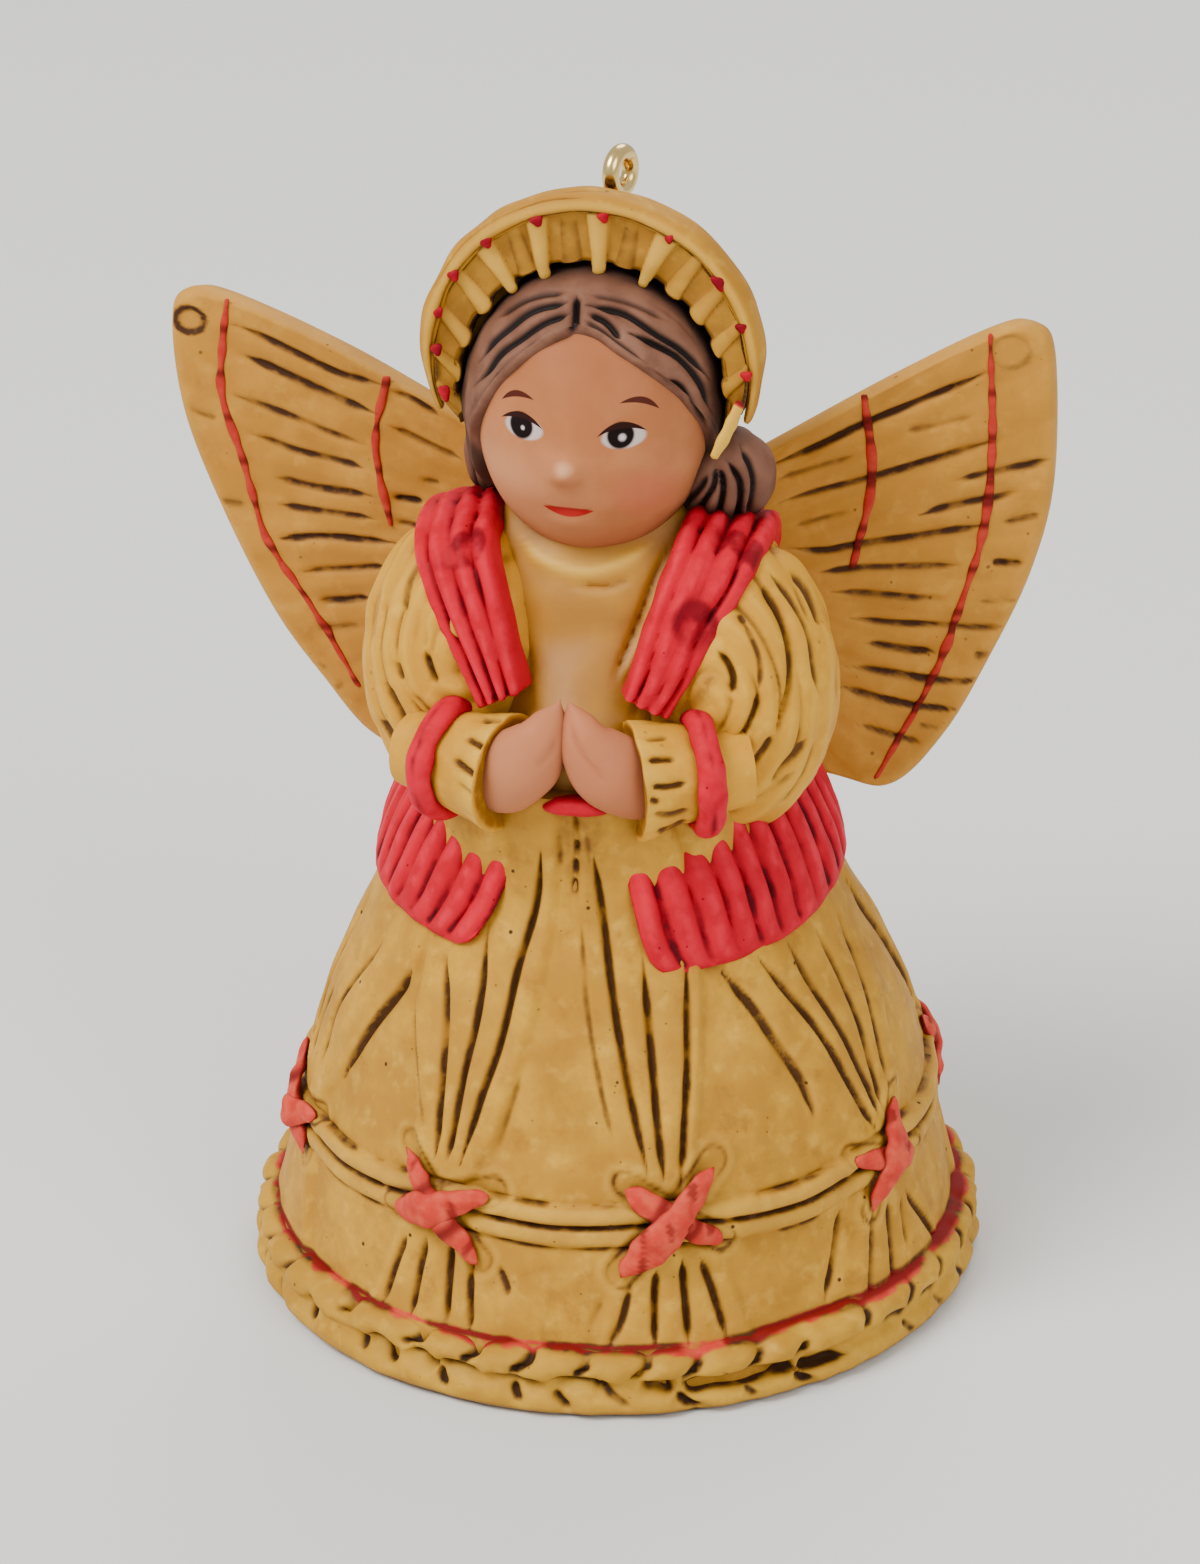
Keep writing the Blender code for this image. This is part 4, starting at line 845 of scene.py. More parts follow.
def makeBodice():
    def shape(across, along):
        height = 23.0 + 18.2 * along
        halfWidth, halfDepth, middle = (softTable([(row[0], row[index]) for row in bodice["sections"]],
                height)
                                        for index in (1, 2, 3))
        angle = 2 * pi * across
        x = halfWidth * np.sin(angle)
        swell = softTable(bodice["chest"], height) * dip(x, bodice["chestWidth"]) * ease(-0.2, 0.7,
                np.cos(angle))
        return x, middle - halfDepth * np.cos(angle) - swell, height

    def relief(across, along, place):
        x, y, z = place[..., 0], place[..., 1], place[..., 2]
        front = ease(0.5, -1.0, y)
        drawnX, drawnZ = seenAt(x, y, z, bodice["plane"])
        cut = carvedLines(drawnX, drawnZ, bodice["cuts"], 0.17) * front
        pale = carvedLines(drawnX, drawnZ, bodice["pale"], 0.32) * front
        ribs = (across * 44) % 1
        groove = dip(np.minimum(ribs, 1 - ribs), 0.12) * ease(1.5, 3.0, y)
        height = -0.26 * cut + 0.2 * pale - 0.22 * groove + 0.07 * wobble(x, y, z, 2.6, 3)
        # darker above the hands, under the chin and beside the sleeves: painted shade
        stainAndShade = (0.55 * dip(z - 32.6, 1.6) * dip(x - 0.1, 2.0) + 0.25 * dip(z - 36.3, 1.6) * dip(x, 2.2)
                 + 0.4 * dip(np.abs(x) - 2.2, 0.8) * dip(z - 33.5, 2.5))
        return height, {"washAndShade": np.maximum(cut * 0.75, groove), "stainAndShade": stainAndShade * front, "pale": pale,
                "bare": ease(1.9, 1.5, y)}

    return carve("bodice", 220, 90, shape, relief)


def makeBand(side):
    stations = np.array([(side * x, y, z) for x, y, z, half, out in bodice["band"]])
    outs = np.array([(side * out[0], out[1], out[2]) for x, y, z, half, out in bodice["band"]], float)
    outs /= np.linalg.norm(outs, axis=1, keepdims=True)
    halves = [half for x, y, z, half, out in bodice["band"]]
    marks = np.arange(len(halves))

    def along3(columns, share):
        return np.stack([softTable(np.stack([marks, column], 1),
                share * (len(marks) - 1)) for column in columns.T], -1)

    def shape(across, along):
        share = np.clip((along - 0.03) / 0.94, 0, 1)
        centre, normal = along3(stations, share), along3(outs, share)
        half = softTable(np.stack([marks, halves], 1), share * (len(marks) - 1))
        ahead = along3(stations, np.minimum(share + 0.01, 1)) - along3(stations, np.maximum(share - 0.01, 0))
        sideways = np.cross(normal, ahead)
        sideways /= np.linalg.norm(sideways, axis=-1, keepdims=True)
        turn = 2 * pi * across
        close = dome(np.clip((np.abs(along - 0.5) - 0.47) / 0.03, 0, 1))[..., None]
        flat = np.sign(np.cos(turn)) * np.abs(np.cos(turn)) ** 0.7
        rise = np.sign(np.sin(turn)) * np.abs(np.sin(turn)) ** 0.55
        spot = (centre + normal * (bodice["bandLift"] - bodice["bandThickness"] * 0.5)
                + close * (sideways * (half * flat)[..., None]
                        + normal * (bodice["bandThickness"] * 0.5 * rise)[..., None]))
        return spot[..., 0], spot[..., 1], spot[..., 2]

    def relief(across, along, place):
        x, y, z = place[..., 0], place[..., 1], place[..., 2]
        turn = 2 * pi * across
        flat = np.sign(np.cos(turn)) * np.abs(np.cos(turn)) ** 0.7
        rib = (flat + 1) / 2 * bodice["bandRibs"] + 0.2 + 0.16 * wobble(x, y, z, 5.0, 5 + side)
        gap = np.abs((rib + 0.5) % 1 - 0.5)
        top = ease(0.0, 0.6, np.sin(turn))
        ragged = 0.6 + 0.5 * wobble(x, y, z, 3.6, 17 + side)
        groove = dip(gap, 0.13) * top * ease(1.0, 0.85, np.abs(flat)) * ragged
        middle = ease(1.0, 0.8, np.abs(flat))
        height = (0.2 * (np.sin(pi * gap) - 0.6) * middle - 0.22 * groove) * top + 0.05 * wobble(x, y, z,
                1.8, 4)
        broken = 0.75 + 0.4 * wobble(x, y, z, 2.8, 11)
        bruise = ease(0.25, 0.75, wobble(x, y, z, 4.0, 44 + side)) * ease(33, 36.5, z) * 0.55 * top
        return height, {"washAndShade": np.maximum(groove * broken * 1.1, bruise),
                "pale": top * ease(0.25, 0.5, gap) * 0.7}

    label = "left" if side < 0 else "right"
    finishPiece(carve(f"jacket_band_{label}", 72, 136, shape, relief), jacketRed)


sleeve = {
    "centre": {-1: (-6.0, -3.1, 32.0), 1: (6.5, -3.3, 31.6)}, "radii": (4.9, 5.3, 7.2), "turn": 18.0,
    "coilMiddle": {-1: (0.45, 0.39), 1: (-0.36, 0.13)},   # as shares of the radii
    "coilStep": 0.217, "coilDepth": 0.28, "coilWidth": 0.14,
    # grooves drawn as seen from the front
    "plane": -7.0,
    "cuts": {
        1: [(1.3, [(6.39, 34.53), (6.85, 33.97), (7.1, 33.2), (6.98, 32.5)]),
            (0.6, [(6.95, 32.4), (6.93, 31.8), (6.65, 31.09), (6.28, 30.47)]),
            (0.8, [(7.4, 36.35), (7.62, 36.05)]),
            (0.5, [(7.55, 36.16), (7.95, 35.31), (8.27, 34.45), (8.36, 33.67), (8.27, 32.68)]),
            (1.1, [(8.25, 32.6), (8.13, 31.88), (7.71, 30.86), (7.2, 30.03), (6.46, 29.28)]),
            (1.3, [(8.5, 37.9), (8.69, 37.59), (9.23, 36.65), (9.6, 35.51), (9.78, 34.35), (9.74, 33.16),
                   (9.51, 31.97), (9.14, 30.85)]),
            (0.9, [(8.96, 30.54), (8.5, 29.81), (7.75, 28.86), (6.82, 28.2)]),
            (0.8, [(8.78, 38.47), (9.59, 37.64), (10.23, 36.52), (10.69, 35.18), (10.92, 33.83),
                   (10.97, 32.85)]),
            (0.6, [(10.43, 30.54), (9.97, 29.71), (9.33, 28.77), (8.86, 27.93)]),
            (1.0, [(9.77, 38.72), (10.41, 37.89), (10.96, 36.76), (11.14, 36.18)]),
            (0.4, [(7.38, 26.93), (8.31, 27.39), (9.23, 28.06), (10.06, 28.92)])],
        -1: [(0.45, [(-7.03, 38.41), (-7.73, 37.43), (-8.08, 36.37), (-8.15, 35.61)]),
             (1.2, [(-7.2, 33.65), (-6.98, 32.81), (-6.73, 32.16)]), (0.55, [(-8.6, 33.1), (-8.36, 32.25)]),
             (1.1, [(-9.23, 32.0), (-8.77, 30.97), (-8.25, 30.03), (-7.64, 29.3)]),
             (1.0, [(-9.53, 30.14), (-8.92, 29.21), (-8.04, 28.1)]),
             (0.3, [(-6.46, 34.95), (-6.75, 34.36), (-6.86, 33.59)]),
             (0.35, [(-7.84, 31.61), (-7.22, 30.87), (-6.69, 30.52)]),
             (0.3, [(-9.1, 36.97), (-9.51, 35.53), (-9.66, 33.99)]),
             (0.35, [(-7.09, 34.91), (-7.17, 33.95)])]},
    "hollows": {1: ((4.9, 31.5), (5.9, 33.2)), -1: ((-5.9, 33.9), (-5.6, 33.0))},
}


def makeSleeve(side):
    swing = radians(side * sleeve["turn"])
    middle = sleeve["centre"][side]
    nearX, nearZ = sleeve["coilMiddle"][side]

    def shape(across, along):
        latitude, longitude = pi * along, 2 * pi * across
        wide, deep, tall = sleeve["radii"]
        x = wide * np.sin(latitude) * np.cos(longitude)
        y = -deep * np.cos(latitude)
        z = tall * np.sin(latitude) * np.sin(longitude)
        return (middle[0] + x * np.cos(swing) - y * np.sin(swing), middle[1] + x * np.sin(swing)
                + y * np.cos(swing),
                middle[2] + z)

    def relief(across, along, place):
        x, y, z = place[..., 0], place[..., 1], place[..., 2]
        latitude, longitude = pi * along, 2 * pi * across
        aside, up = np.sin(latitude) * np.cos(longitude), np.sin(latitude) * np.sin(longitude)
        reach = np.hypot(aside - nearX, up - nearZ) + 0.014 * wobble(x, y, z, 6.0, 9 + side)
        back = ease(0.42, 0.55, along)
        reach = np.where(along > 0.5, 2 - reach, reach)
        coil = reach / sleeve["coilStep"]
        gap = np.abs((coil + 0.5) % 1 - 0.5)
        drawnX, drawnZ = seenAt(x, y, z, sleeve["plane"])
        front = ease(0.6, 0.5, along)
        cut = carvedLines(drawnX, drawnZ, sleeve["cuts"][side], sleeve["coilWidth"]) * front
        soft = carvedLines(drawnX, drawnZ, sleeve["cuts"][side], 0.42) * front
        rear = dip(gap, 0.12) * back
        stretches = ease(-0.35, 0.35, wobble(x, y, z, 4.5, 61 + side)) * ease(0.12, 0.3, reach)
        ring = dip(gap, 0.1) * front * stretches
        height = 0.14 * (np.sin(pi * gap) - 0.6) - 0.12 * soft
        height -= sleeve["coilDepth"] * np.maximum(cut, np.maximum(rear, ring * 0.5) * 0.8)
        height += 0.06 * wobble(x, y, z, 2.6, 6)
        broken = np.clip(0.85 + 0.45 * wobble(x, y, z, 3.0, 15 + side), 0.2, 1.2)
        # a dark patch in the hollow by the jacket band and cuff: painted shade
        hollow = segmentDistance(drawnX, drawnZ, *sleeve["hollows"][side])
        stainAndShade = dip(hollow, 0.55) * front * (0.9 if side > 0 else 0.5)
        height -= 0.12 * stainAndShade
        return height, {"washAndShade": np.maximum(cut * broken * 1.3, np.maximum(rear * 0.6, ring * 0.42)),
                "stainAndShade": stainAndShade + 0.25 * soft,
                        "pale": (1 - soft) * ease(0.3, 0.5, gap) * 0.35}

    label = "left" if side < 0 else "right"
    finishPiece(carve(f"sleeve_{label}", 220, 116, shape, relief), creamStraw)


cuff = {
    "band": (5.8, -8.6, 29.25), "mouth": (2.95, -9.8, 29.15), "radius": 2.2, "ribs": 13, "ribDepth": 0.05,
    "bandThickness": 0.5, "bandWidth": 0.66, "bandProud": 0.3,
    # short cuts beside the cord, drawn as seen from the front
    "plane": -9.0,
    "cuts": {
        1: [(0.9, [(3.52, 29.9), (4.77, 30.03)]), (1.0, [(3.66, 28.53), (4.48, 28.61), (5.22, 28.83)]),
            (0.8, [(3.7, 27.83), (3.95, 27.74)]), (0.6, [(3.77, 27.1), (4.56, 27.16), (5.44, 27.5)]),
            (0.7, [(3.85, 26.23), (4.55, 26.48), (5.29, 26.89)]),
            (1.0, [(2.98, 27.58), (2.84, 27.12), (2.74, 26.5)]),
            (0.4, [(3.4, 30.9), (4.4, 31.1)])],
        -1: [(1.0, [(-4.99, 30.44), (-4.46, 30.18), (-4.02, 29.91)]),
             (1.0, [(-5.65, 29.33), (-5.13, 28.89), (-4.6, 28.49)]),
             (0.5, [(-4.25, 31.44), (-3.62, 31.44), (-3.18, 31.32)]),
             (1.0, [(-3.37, 27.26), (-3.15, 26.89), (-3.08, 26.21)]),
             (0.3, [(-5.6, 28.3), (-4.7, 27.5), (-3.9, 26.9)])]},
}


def axisFrame(direction):
    along = np.array(direction) / np.linalg.norm(direction)
    aside = np.cross(along, (0, 0, 1))
    aside /= np.linalg.norm(aside)
    return along, aside, np.cross(aside, along)


def makeCuff(side):
    band, mouth = (np.array((side * cuff[key][0], *cuff[key][1:])) for key in ("band", "mouth"))
    run, aside, up = axisFrame(mouth - band)
    length = np.linalg.norm(mouth - band)
    # share of the way round, distance along from the cord, and radius
    stops = ((0.0, -2.2, 1.8), (0.16, 0.0, 2.15), (0.36, length * 0.45, 2.45), (0.56, length - 0.3, 2.75),
            (0.64, length, 2.78),
             (0.7, length + 0.02, 2.6), (0.86, length - 0.1, 1.7), (1.0, length - 0.2, 0.0))

    def shape(across, along):
        reach = softTable([(share, out) for share, out, radius in stops], along)
        radius = np.clip(softTable([(share, radius) for share, out, radius in stops], along), 0, None)
        radius = np.where(along > 0.999, 0, radius)
        turn = 2 * pi * across
        out = aside * np.cos(turn)[..., None] + up * np.sin(turn)[..., None]
        spot = band + run * reach[..., None] + radius[..., None] * out
        return spot[..., 0], spot[..., 1], spot[..., 2]

    def relief(across, along, place):
        x, y, z = place[..., 0], place[..., 1], place[..., 2]
        rib = across * cuff["ribs"] + 0.14 * wobble(x, y, z, 4.0, 8 + side)
        gap = np.abs((rib + 0.5) % 1 - 0.5)
        outside = ease(0.12, 0.2, along) * ease(0.68, 0.6, along)
        front = ease(-7.5, -8.3, y)
        drawnX, drawnZ = seenAt(x, y, z, cuff["plane"])
        cut = carvedLines(drawnX, drawnZ, cuff["cuts"][side], 0.14) * outside * front
        soft = carvedLines(drawnX, drawnZ, cuff["cuts"][side], 0.36) * outside * front
        groove = dip(gap, 0.14) * outside * ease(0.3, 0.5, along)
        edge = ease(0.4, 0.62, along) * ease(0.78, 0.68, along)
        height = -0.26 * cut - 0.08 * soft - cuff["ribDepth"] * groove + 0.06 * wobble(x, y, z, 1.9, 5)
        # the inside of the cuff's mouth darker: painted shade
        inside = ease(0.66, 0.74, along)
        return height, {"washAndShade": cut * 1.15, "stainAndShade": np.maximum(inside * 0.9, 0.35 * soft),
                "pale": edge * 0.6 * outside}

    label = "left" if side < 0 else "right"
    finishPiece(carve(f"cuff_{label}", 140, 50, shape, relief), creamStraw)

    def cordShape(across, along):
        angle, turn = 2 * pi * across, 2 * pi * along
        thick = cuff["bandThickness"] * (1 + 0.08 * np.sin(5 * angle))
        radius = cuff["radius"] + cuff["bandProud"] + thick * np.cos(turn)
        out = aside * np.cos(angle)[..., None] + up * np.sin(angle)[..., None]
        spot = band + out * radius[..., None] + run * (cuff["bandWidth"] * np.sin(turn))[..., None]
        return spot[..., 0], spot[..., 1], spot[..., 2]

    def cordRelief(across, along, place):
        x, y, z = place[..., 0], place[..., 1], place[..., 2]
        edge = dip(np.abs((along + 0.25) % 1 - 0.5) - 0.25, 0.05)
        return 0.07 * wobble(x, y, z, 1.7, 9), {"washAndShade": edge * 0.6 * (0.7 + 0.5 * wobble(x, y, z, 1.6, 19)),
                "pale": 0.4}

    finishPiece(carve(f"cuff_cord_{label}", 120, 24, cordShape, cordRelief, (True, True)), jacketRed)


# Hands and the small red belt end under them

hand = {
    "line": ((5.4, -8.7, 28.5, 1.2), (4.2, -9.4, 28.9, 1.55), (3.0, -10.2, 29.3, 1.8),
            (1.95, -10.8, 30.2, 1.75),
             (1.05, -11.0, 31.3, 1.4), (0.55, -10.85, 32.4, 0.85), (0.15, -10.7, 33.4, 0.0)),
    "flatness": 0.78,
    "plane": -11.0,
    # thumb and finger creases, drawn as seen from the front
    "cuts": {1: [(0.8, [(0.25, 32.3), (0.6, 31.3), (1.3, 30.3), (2.0, 29.5)])],
             -1: [(0.6, [(-0.3, 31.6), (-0.75, 30.7), (-1.4, 30.0)])]},
    "beltEnd": (0.4, -10.6, 28.1), "beltEndSize": (1.5, 0.6, 0.46),
}


def makeHand(side):
    line = np.array([(side * x, y, z, radius) for x, y, z, radius in hand["line"]])
    marks = np.arange(len(line))

    def read(share, index):
        return softTable(np.stack([marks, line[:, index]], 1), share * (len(line) - 1))

    def shape(across, along):
        centre = np.stack([read(along, index) for index in range(3)], -1)
        ahead = np.stack([read(np.minimum(along + 0.02, 1), index) - read(np.maximum(along - 0.02, 0), index)
                          for index in range(3)], -1)
        ahead /= np.linalg.norm(ahead, axis=-1, keepdims=True)
        aside = np.cross(ahead, (0.0, 0.0, 1.0))
        aside /= np.linalg.norm(aside, axis=-1, keepdims=True)
        up = np.cross(aside, ahead)
        turn = 2 * pi * across
        radius = np.clip(read(along, 3), 0, None) * ease(0, 0.02, along)
        radius = np.where(along > 0.999, 0, radius)
        out = aside * hand["flatness"] * np.cos(turn)[..., None] + up * np.sin(turn)[..., None]
        spot = centre + radius[..., None] * out
        return spot[..., 0], spot[..., 1], spot[..., 2]

    def relief(across, along, place):
        x, y, z = place[..., 0], place[..., 1], place[..., 2]
        drawnX, drawnZ = seenAt(x, y, z, hand["plane"])
        front = ease(-10.2, -10.9, y)
        cut = carvedLines(drawnX, drawnZ, hand["cuts"][side], 0.2) * front
        return 0.06 * wobble(x, y, z, 2.4, 4) - 0.12 * cut, {"washAndShade": cut * 0.5, "hand": 1.0}

    label = "left" if side < 0 else "right"
    return carve(f"hand_{label}", 50, 48, shape, relief)


def makeBeltEnd():
    def shape(across, along):
        latitude, longitude = pi * along, 2 * pi * across
        wide, deep, tall = hand["beltEndSize"]
        middle = hand["beltEnd"]
        side = np.sin(latitude) * np.cos(longitude)
        return (middle[0] + wide * np.sign(side) * np.abs(side) ** 0.8, middle[1] - deep * np.cos(latitude),
                middle[2] + tall * np.sin(latitude) * np.sin(longitude) - 0.12 * side ** 2)

    def relief(across, along, place):
        x, y, z = place[..., 0], place[..., 1], place[..., 2]
        # the top darker: painted shade under the hands
        up = ease(0.1, 0.5, z - hand["beltEnd"][2])
        return 0.04 * wobble(x, y, z, 0.9, 4), {"washAndShade": 0.6 * up, "pale": 0.2}

    finishPiece(carve("belt_end", 60, 36, shape, relief), jacketRed)


# Head with its painted face

head = {
    "centre": (0.0, -2.4, 44.0), "radii": (5.35, 5.2, 6.35),
    # soft swellings: aside, height, amount, width, tallness
    "swell": ((-0.38, 43.05, 0.62, 0.62, 0.62), (-2.7, 42.2, 0.22, 1.5, 1.5), (2.5, 42.0, 0.22, 1.5, 1.5),
              (-0.35, 39.9, 0.18, 1.3, 0.9), (-2.3, 44.7, -0.1, 0.9, 0.7), (2.2, 44.6, -0.1, 0.9, 0.7),
              (-0.38, 40.9, -0.05, 1.2, 0.3), (-0.38, 40.45, 0.08, 0.8, 0.35)),
}


def makeHead():
    def shape(across, along):
        # poles at the top and bottom; the face is on the side of more columns
        turn = across - 0.5
        longitude = 2 * pi * turn - 0.55 * np.sin(2 * pi * turn)
        latitude = pi * (along - 0.5)
        wide, deep, tall = head["radii"]
        middle = head["centre"]
        return (middle[0] + wide * np.cos(latitude) * np.sin(longitude),
                middle[1] - deep * np.cos(latitude) * np.cos(longitude), middle[2] + tall * np.sin(latitude))

    def relief(across, along, place):
        x, y, z = place[..., 0], place[..., 1], place[..., 2]
        height = np.zeros_like(x)
        for aside, level, amount, width, tallness in head["swell"]:
            height += amount * dip(x - aside, width) * dip(z - level, tallness) * ease(-3.5, -5.0, y)
        return height + 0.02 * wobble(x, y, z, 3.0, 2), {"washAndShade": 0.0}

    return carve("head", 110, 84, shape, relief)


# colours of the painted skin and face, with tones for painted light and shade
face = {
    "shade": (0.42, 0.145, 0.050), "skin": (0.49, 0.18, 0.068), "hand": (0.58, 0.215, 0.095),
    "dull": (0.40, 0.135, 0.050), "blush": (0.50, 0.125, 0.06), "foreheadShade": (0.33, 0.105, 0.038),
    "cheek": (0.60, 0.26, 0.115), "chinShade": (0.42, 0.12, 0.055), "soakAndShade": (0.20, 0.06, 0.025),
    "groove": (0.24, 0.07, 0.03), "nose": (0.74, 0.42, 0.22), "underNoseShade": (0.33, 0.12, 0.05),
    "eyeWhite": (0.56, 0.46, 0.42), "iris": (0.006, 0.0015, 0.0012), "glint": (0.62, 0.50, 0.52),
    "lash": (0.022, 0.004, 0.002), "eyebrow": (0.07, 0.012, 0.006), "mouth": (0.36, 0.006, 0.006),
    "lip": (0.42, 0.012, 0.010), "lipLine": (0.24, 0.02, 0.015),
}


def skinFinish():
    finish = Finish("painted_skin")
    parts = finish.start.make("ShaderNodeSeparateXYZ", {}, {0: finish.spot}, 0)
    x = parts
    z = Wire(finish.tree, parts.socket.node.outputs[2])
    y = Wire(finish.tree, parts.socket.node.outputs[1])
    ahead = y.between(-4.0, -5.0)

    def oval(centre, size, turn=0.0, edge=0.12):
        # 1 inside a turned oval on the face
        aside, up = x - centre[0], z - centre[1]
        c, s = cos(radians(turn)), sin(radians(turn))
        along, over = (aside * c + up * s) / size[0], (up * c - aside * s) / size[1]
        reach = (along * along + over * over) ** 0.5
        return reach.between(1 + edge, 1 - edge) * ahead

    def arch(centre, size, bend, turn=0.0, edge=0.3):
        # a thin bowed stroke
        aside, up = x - centre[0], z - centre[1]
        c, s = cos(radians(turn)), sin(radians(turn))
        along = (aside * c + up * s) / size[0]
        over = ((up * c - aside * s) + along * along * bend) / size[1]
        over = over / (1.12 - along * along).count("MAXIMUM", 1.12 - along * along, 0.05)
        return (over * over + (along * along) ** 4).between(1 + edge, 1 - edge) * ahead

    base = finish.cloud(2.4, 3).between(0.35, 0.7).paint(face["shade"], face["skin"])
    base = (finish.mark("hand") * 0.6).paint(base, face["hand"])
    base = ((finish.cloud(0.5, 4) - 0.42) * 0.3).between(0.0, 0.4).paint(base, face["dull"])
    for centre, warm in (((-2.9, 42.0), 0.2), ((3.0, 41.9), 0.6)):
        aside, up = x - centre[0], z - centre[1]
        glow = (aside * aside / 3.4 + up * up / 2.6).between(1.0, 0.0) * ahead * warm
        base = glow.paint(base, face["blush"])
    # forehead darker toward the top: painted shade under the hair and bonnet
    brow = z.between(44.0, 48.0) * ahead * 0.6
    base = brow.paint(base, face["foreheadShade"])
    # the cheek on the viewer's left paler: painted light from the lamp's side
    light = x.between(1.5, -4.5) * z.between(44.8, 42.4) * ahead * 0.75
    base = light.paint(base, face["cheek"])
    # darker below the chin and everything lower: painted shade under the chin
    chinShade = z.between(40.4, 38.6) * 0.35
    base = chinShade.paint(base, face["chinShade"])
    # darker in enclosed spots: painted shade
    soakAndShade = (1 - finish.crevice).between(0.15, 0.8) * 0.7
    base = soakAndShade.paint(base, face["soakAndShade"])
    base = finish.mark("washAndShade").between(0.05, 0.9).paint(base, face["groove"])
    # pale spot on the tip of the nose: painted highlight
    nose = oval((-0.38, 43.3), (0.36, 0.28), edge=0.7) * 0.55
    base = nose.paint(base, face["nose"])
    # dark spot under the nose: painted shade
    under = oval((-0.38, 42.55), (0.62, 0.26), edge=0.8) * 0.35
    base = under.paint(base, face["underNoseShade"])
    # eyes: white, dark iris, glint, upper lash
    for side, (cx, cz), turn in ((-1, (-2.45, 44.9), -3.0), (1, (2.1, 44.72), 3.0)):
        white = oval((cx + 0.1, cz - 0.05), (0.93, 0.52), turn, 0.12)
        base = (white * 0.95).paint(base, face["eyeWhite"])
        iris = oval((cx - 0.03, cz + 0.04), (0.58, 0.62), 0, 0.12)
        base = iris.paint(base, face["iris"])
        glint = oval((cx + 0.04, cz - 0.07), (0.12 + 0.03 * side, 0.13 + 0.03 * side), 0, 0.5)
        base = glint.paint(base, face["glint"])
        lash = arch((cx, cz + 0.5), (1.06, 0.13), 0.42, turn)
        base = lash.paint(base, face["lash"])
    for (cx, cz), turn in (((-2.75, 46.2), 12.0), ((2.9, 46.15), -16.0)):
        brow = arch((cx, cz + 0.08), (0.86, 0.12), 0.3, turn)
        base = brow.paint(base, face["eyebrow"])
    mouth = arch((-0.4, 40.95), (1.18, 0.22), -0.16, -3.0, 0.35)
    base = mouth.paint(base, face["mouth"])
    lip = oval((-0.36, 40.9), (0.55, 0.17), 0, 0.4)
    base = lip.paint(base, face["lip"])
    line = arch((-0.4, 41.1), (1.15, 0.05), -0.14, -3.0, 0.5)
    base = (line * 0.7).paint(base, face["lipLine"])
    roughness = 0.42 + finish.cloud(1.3, 3) * 0.18
    return finish.end(base, roughness, finish.cloud(0.3, 4) * 0.5 + finish.cloud(1.5, 2), 0.02, 0.1)


# Hair: one cap from cheek to cheek under the bonnet, and two buns

hair = {
    # longitude and latitude on the head of the hairline, from the left cheek over the parting to the right
    "line": ((-82.0, -32.0), (-72.0, -18.0), (-66.0, -5.0), (-58.0, 7.0), (-41.4, 27.0), (-25.0, 40.5),
            (-8.0, 48.5),
             (0.0, 50.5), (9.0, 49.3), (25.0, 41.0), (38.0, 32.6), (59.0, 15.5), (81.0, -8.8), (90.0, -22.0),
             (98.0, -36.0)),
    "rear": (128.0, 0.45),    # half the turn of the rear edge, and how far back it lies
    "lift": 0.5, "fullness": 0.55,
    "plane": -6.2, "depth": 0.26, "width": 0.16,
    # strands drawn as seen from the front
    "cuts": [
        (1.2, [(0.02, 50.95), (-0.06, 50.0), (-0.17, 48.78)]),
        (1.0, [(-0.3, 50.67), (-1.84, 50.26), (-3.32, 49.2), (-4.58, 47.63)]),
        (1.0, [(-0.3, 50.15), (-1.53, 49.61), (-3.18, 48.37), (-4.85, 46.4)]),
        (0.6, [(-0.4, 51.08), (-1.99, 50.76), (-3.79, 49.68)]),
        (0.35, [(-1.4, 49.2), (-2.9, 47.9), (-4.3, 46.3), (-5.1, 44.9)]),
        (1.1, [(0.45, 50.53), (2.03, 50.28), (3.3, 49.51), (4.89, 48.58), (6.01, 47.3)]),
        (1.0, [(0.58, 50.13), (1.38, 49.75), (2.01, 48.95)]),
        (1.2, [(2.33, 49.29), (3.93, 48.7), (4.89, 48.08), (5.68, 46.95), (6.1, 45.8)]),
        (0.6, [(0.25, 49.86), (1.05, 49.4), (2.0, 48.7), (3.12, 47.83)]),
        (1.0, [(4.08, 47.21), (4.88, 46.75), (5.51, 45.27), (5.75, 44.0)]),
        (0.4, [(3.2, 47.6), (4.4, 46.6), (5.0, 45.2)]),
        (0.5, [(0.5, 51.0), (2.2, 50.75), (4.2, 49.9)])],
    "centre": {-1: (-4.4, 0.1, 41.0), 1: (5.9, -1.5, 41.0)}, "bunRadii": (2.35, 2.2, 2.3), "bunTurn": 35.0,
    "bunPlane": -3.5,
    "bunCuts": [
        (1.0, [(5.75, 42.3), (5.62, 41.2), (5.2, 40.42), (4.6, 39.4)]),
        (1.2, [(5.92, 42.2), (6.1, 41.35), (6.04, 40.46), (5.7, 39.2)]),
        (1.2, [(6.3, 42.6), (6.88, 41.64), (6.99, 40.89), (6.87, 40.0), (6.55, 39.1)]),
        (1.0, [(6.88, 43.27), (7.4, 42.42), (7.6, 41.42), (7.5, 40.54), (7.2, 39.4)]),
        (0.8, [(5.4, 41.8), (4.9, 41.0), (4.3, 40.3), (3.9, 39.9)])],
}


def headWay(longitude, latitude):
    longitude, latitude = np.radians(longitude), np.radians(latitude)
    return np.stack([np.cos(latitude) * np.sin(longitude), -np.cos(latitude) * np.cos(longitude),
            np.sin(latitude)], -1)


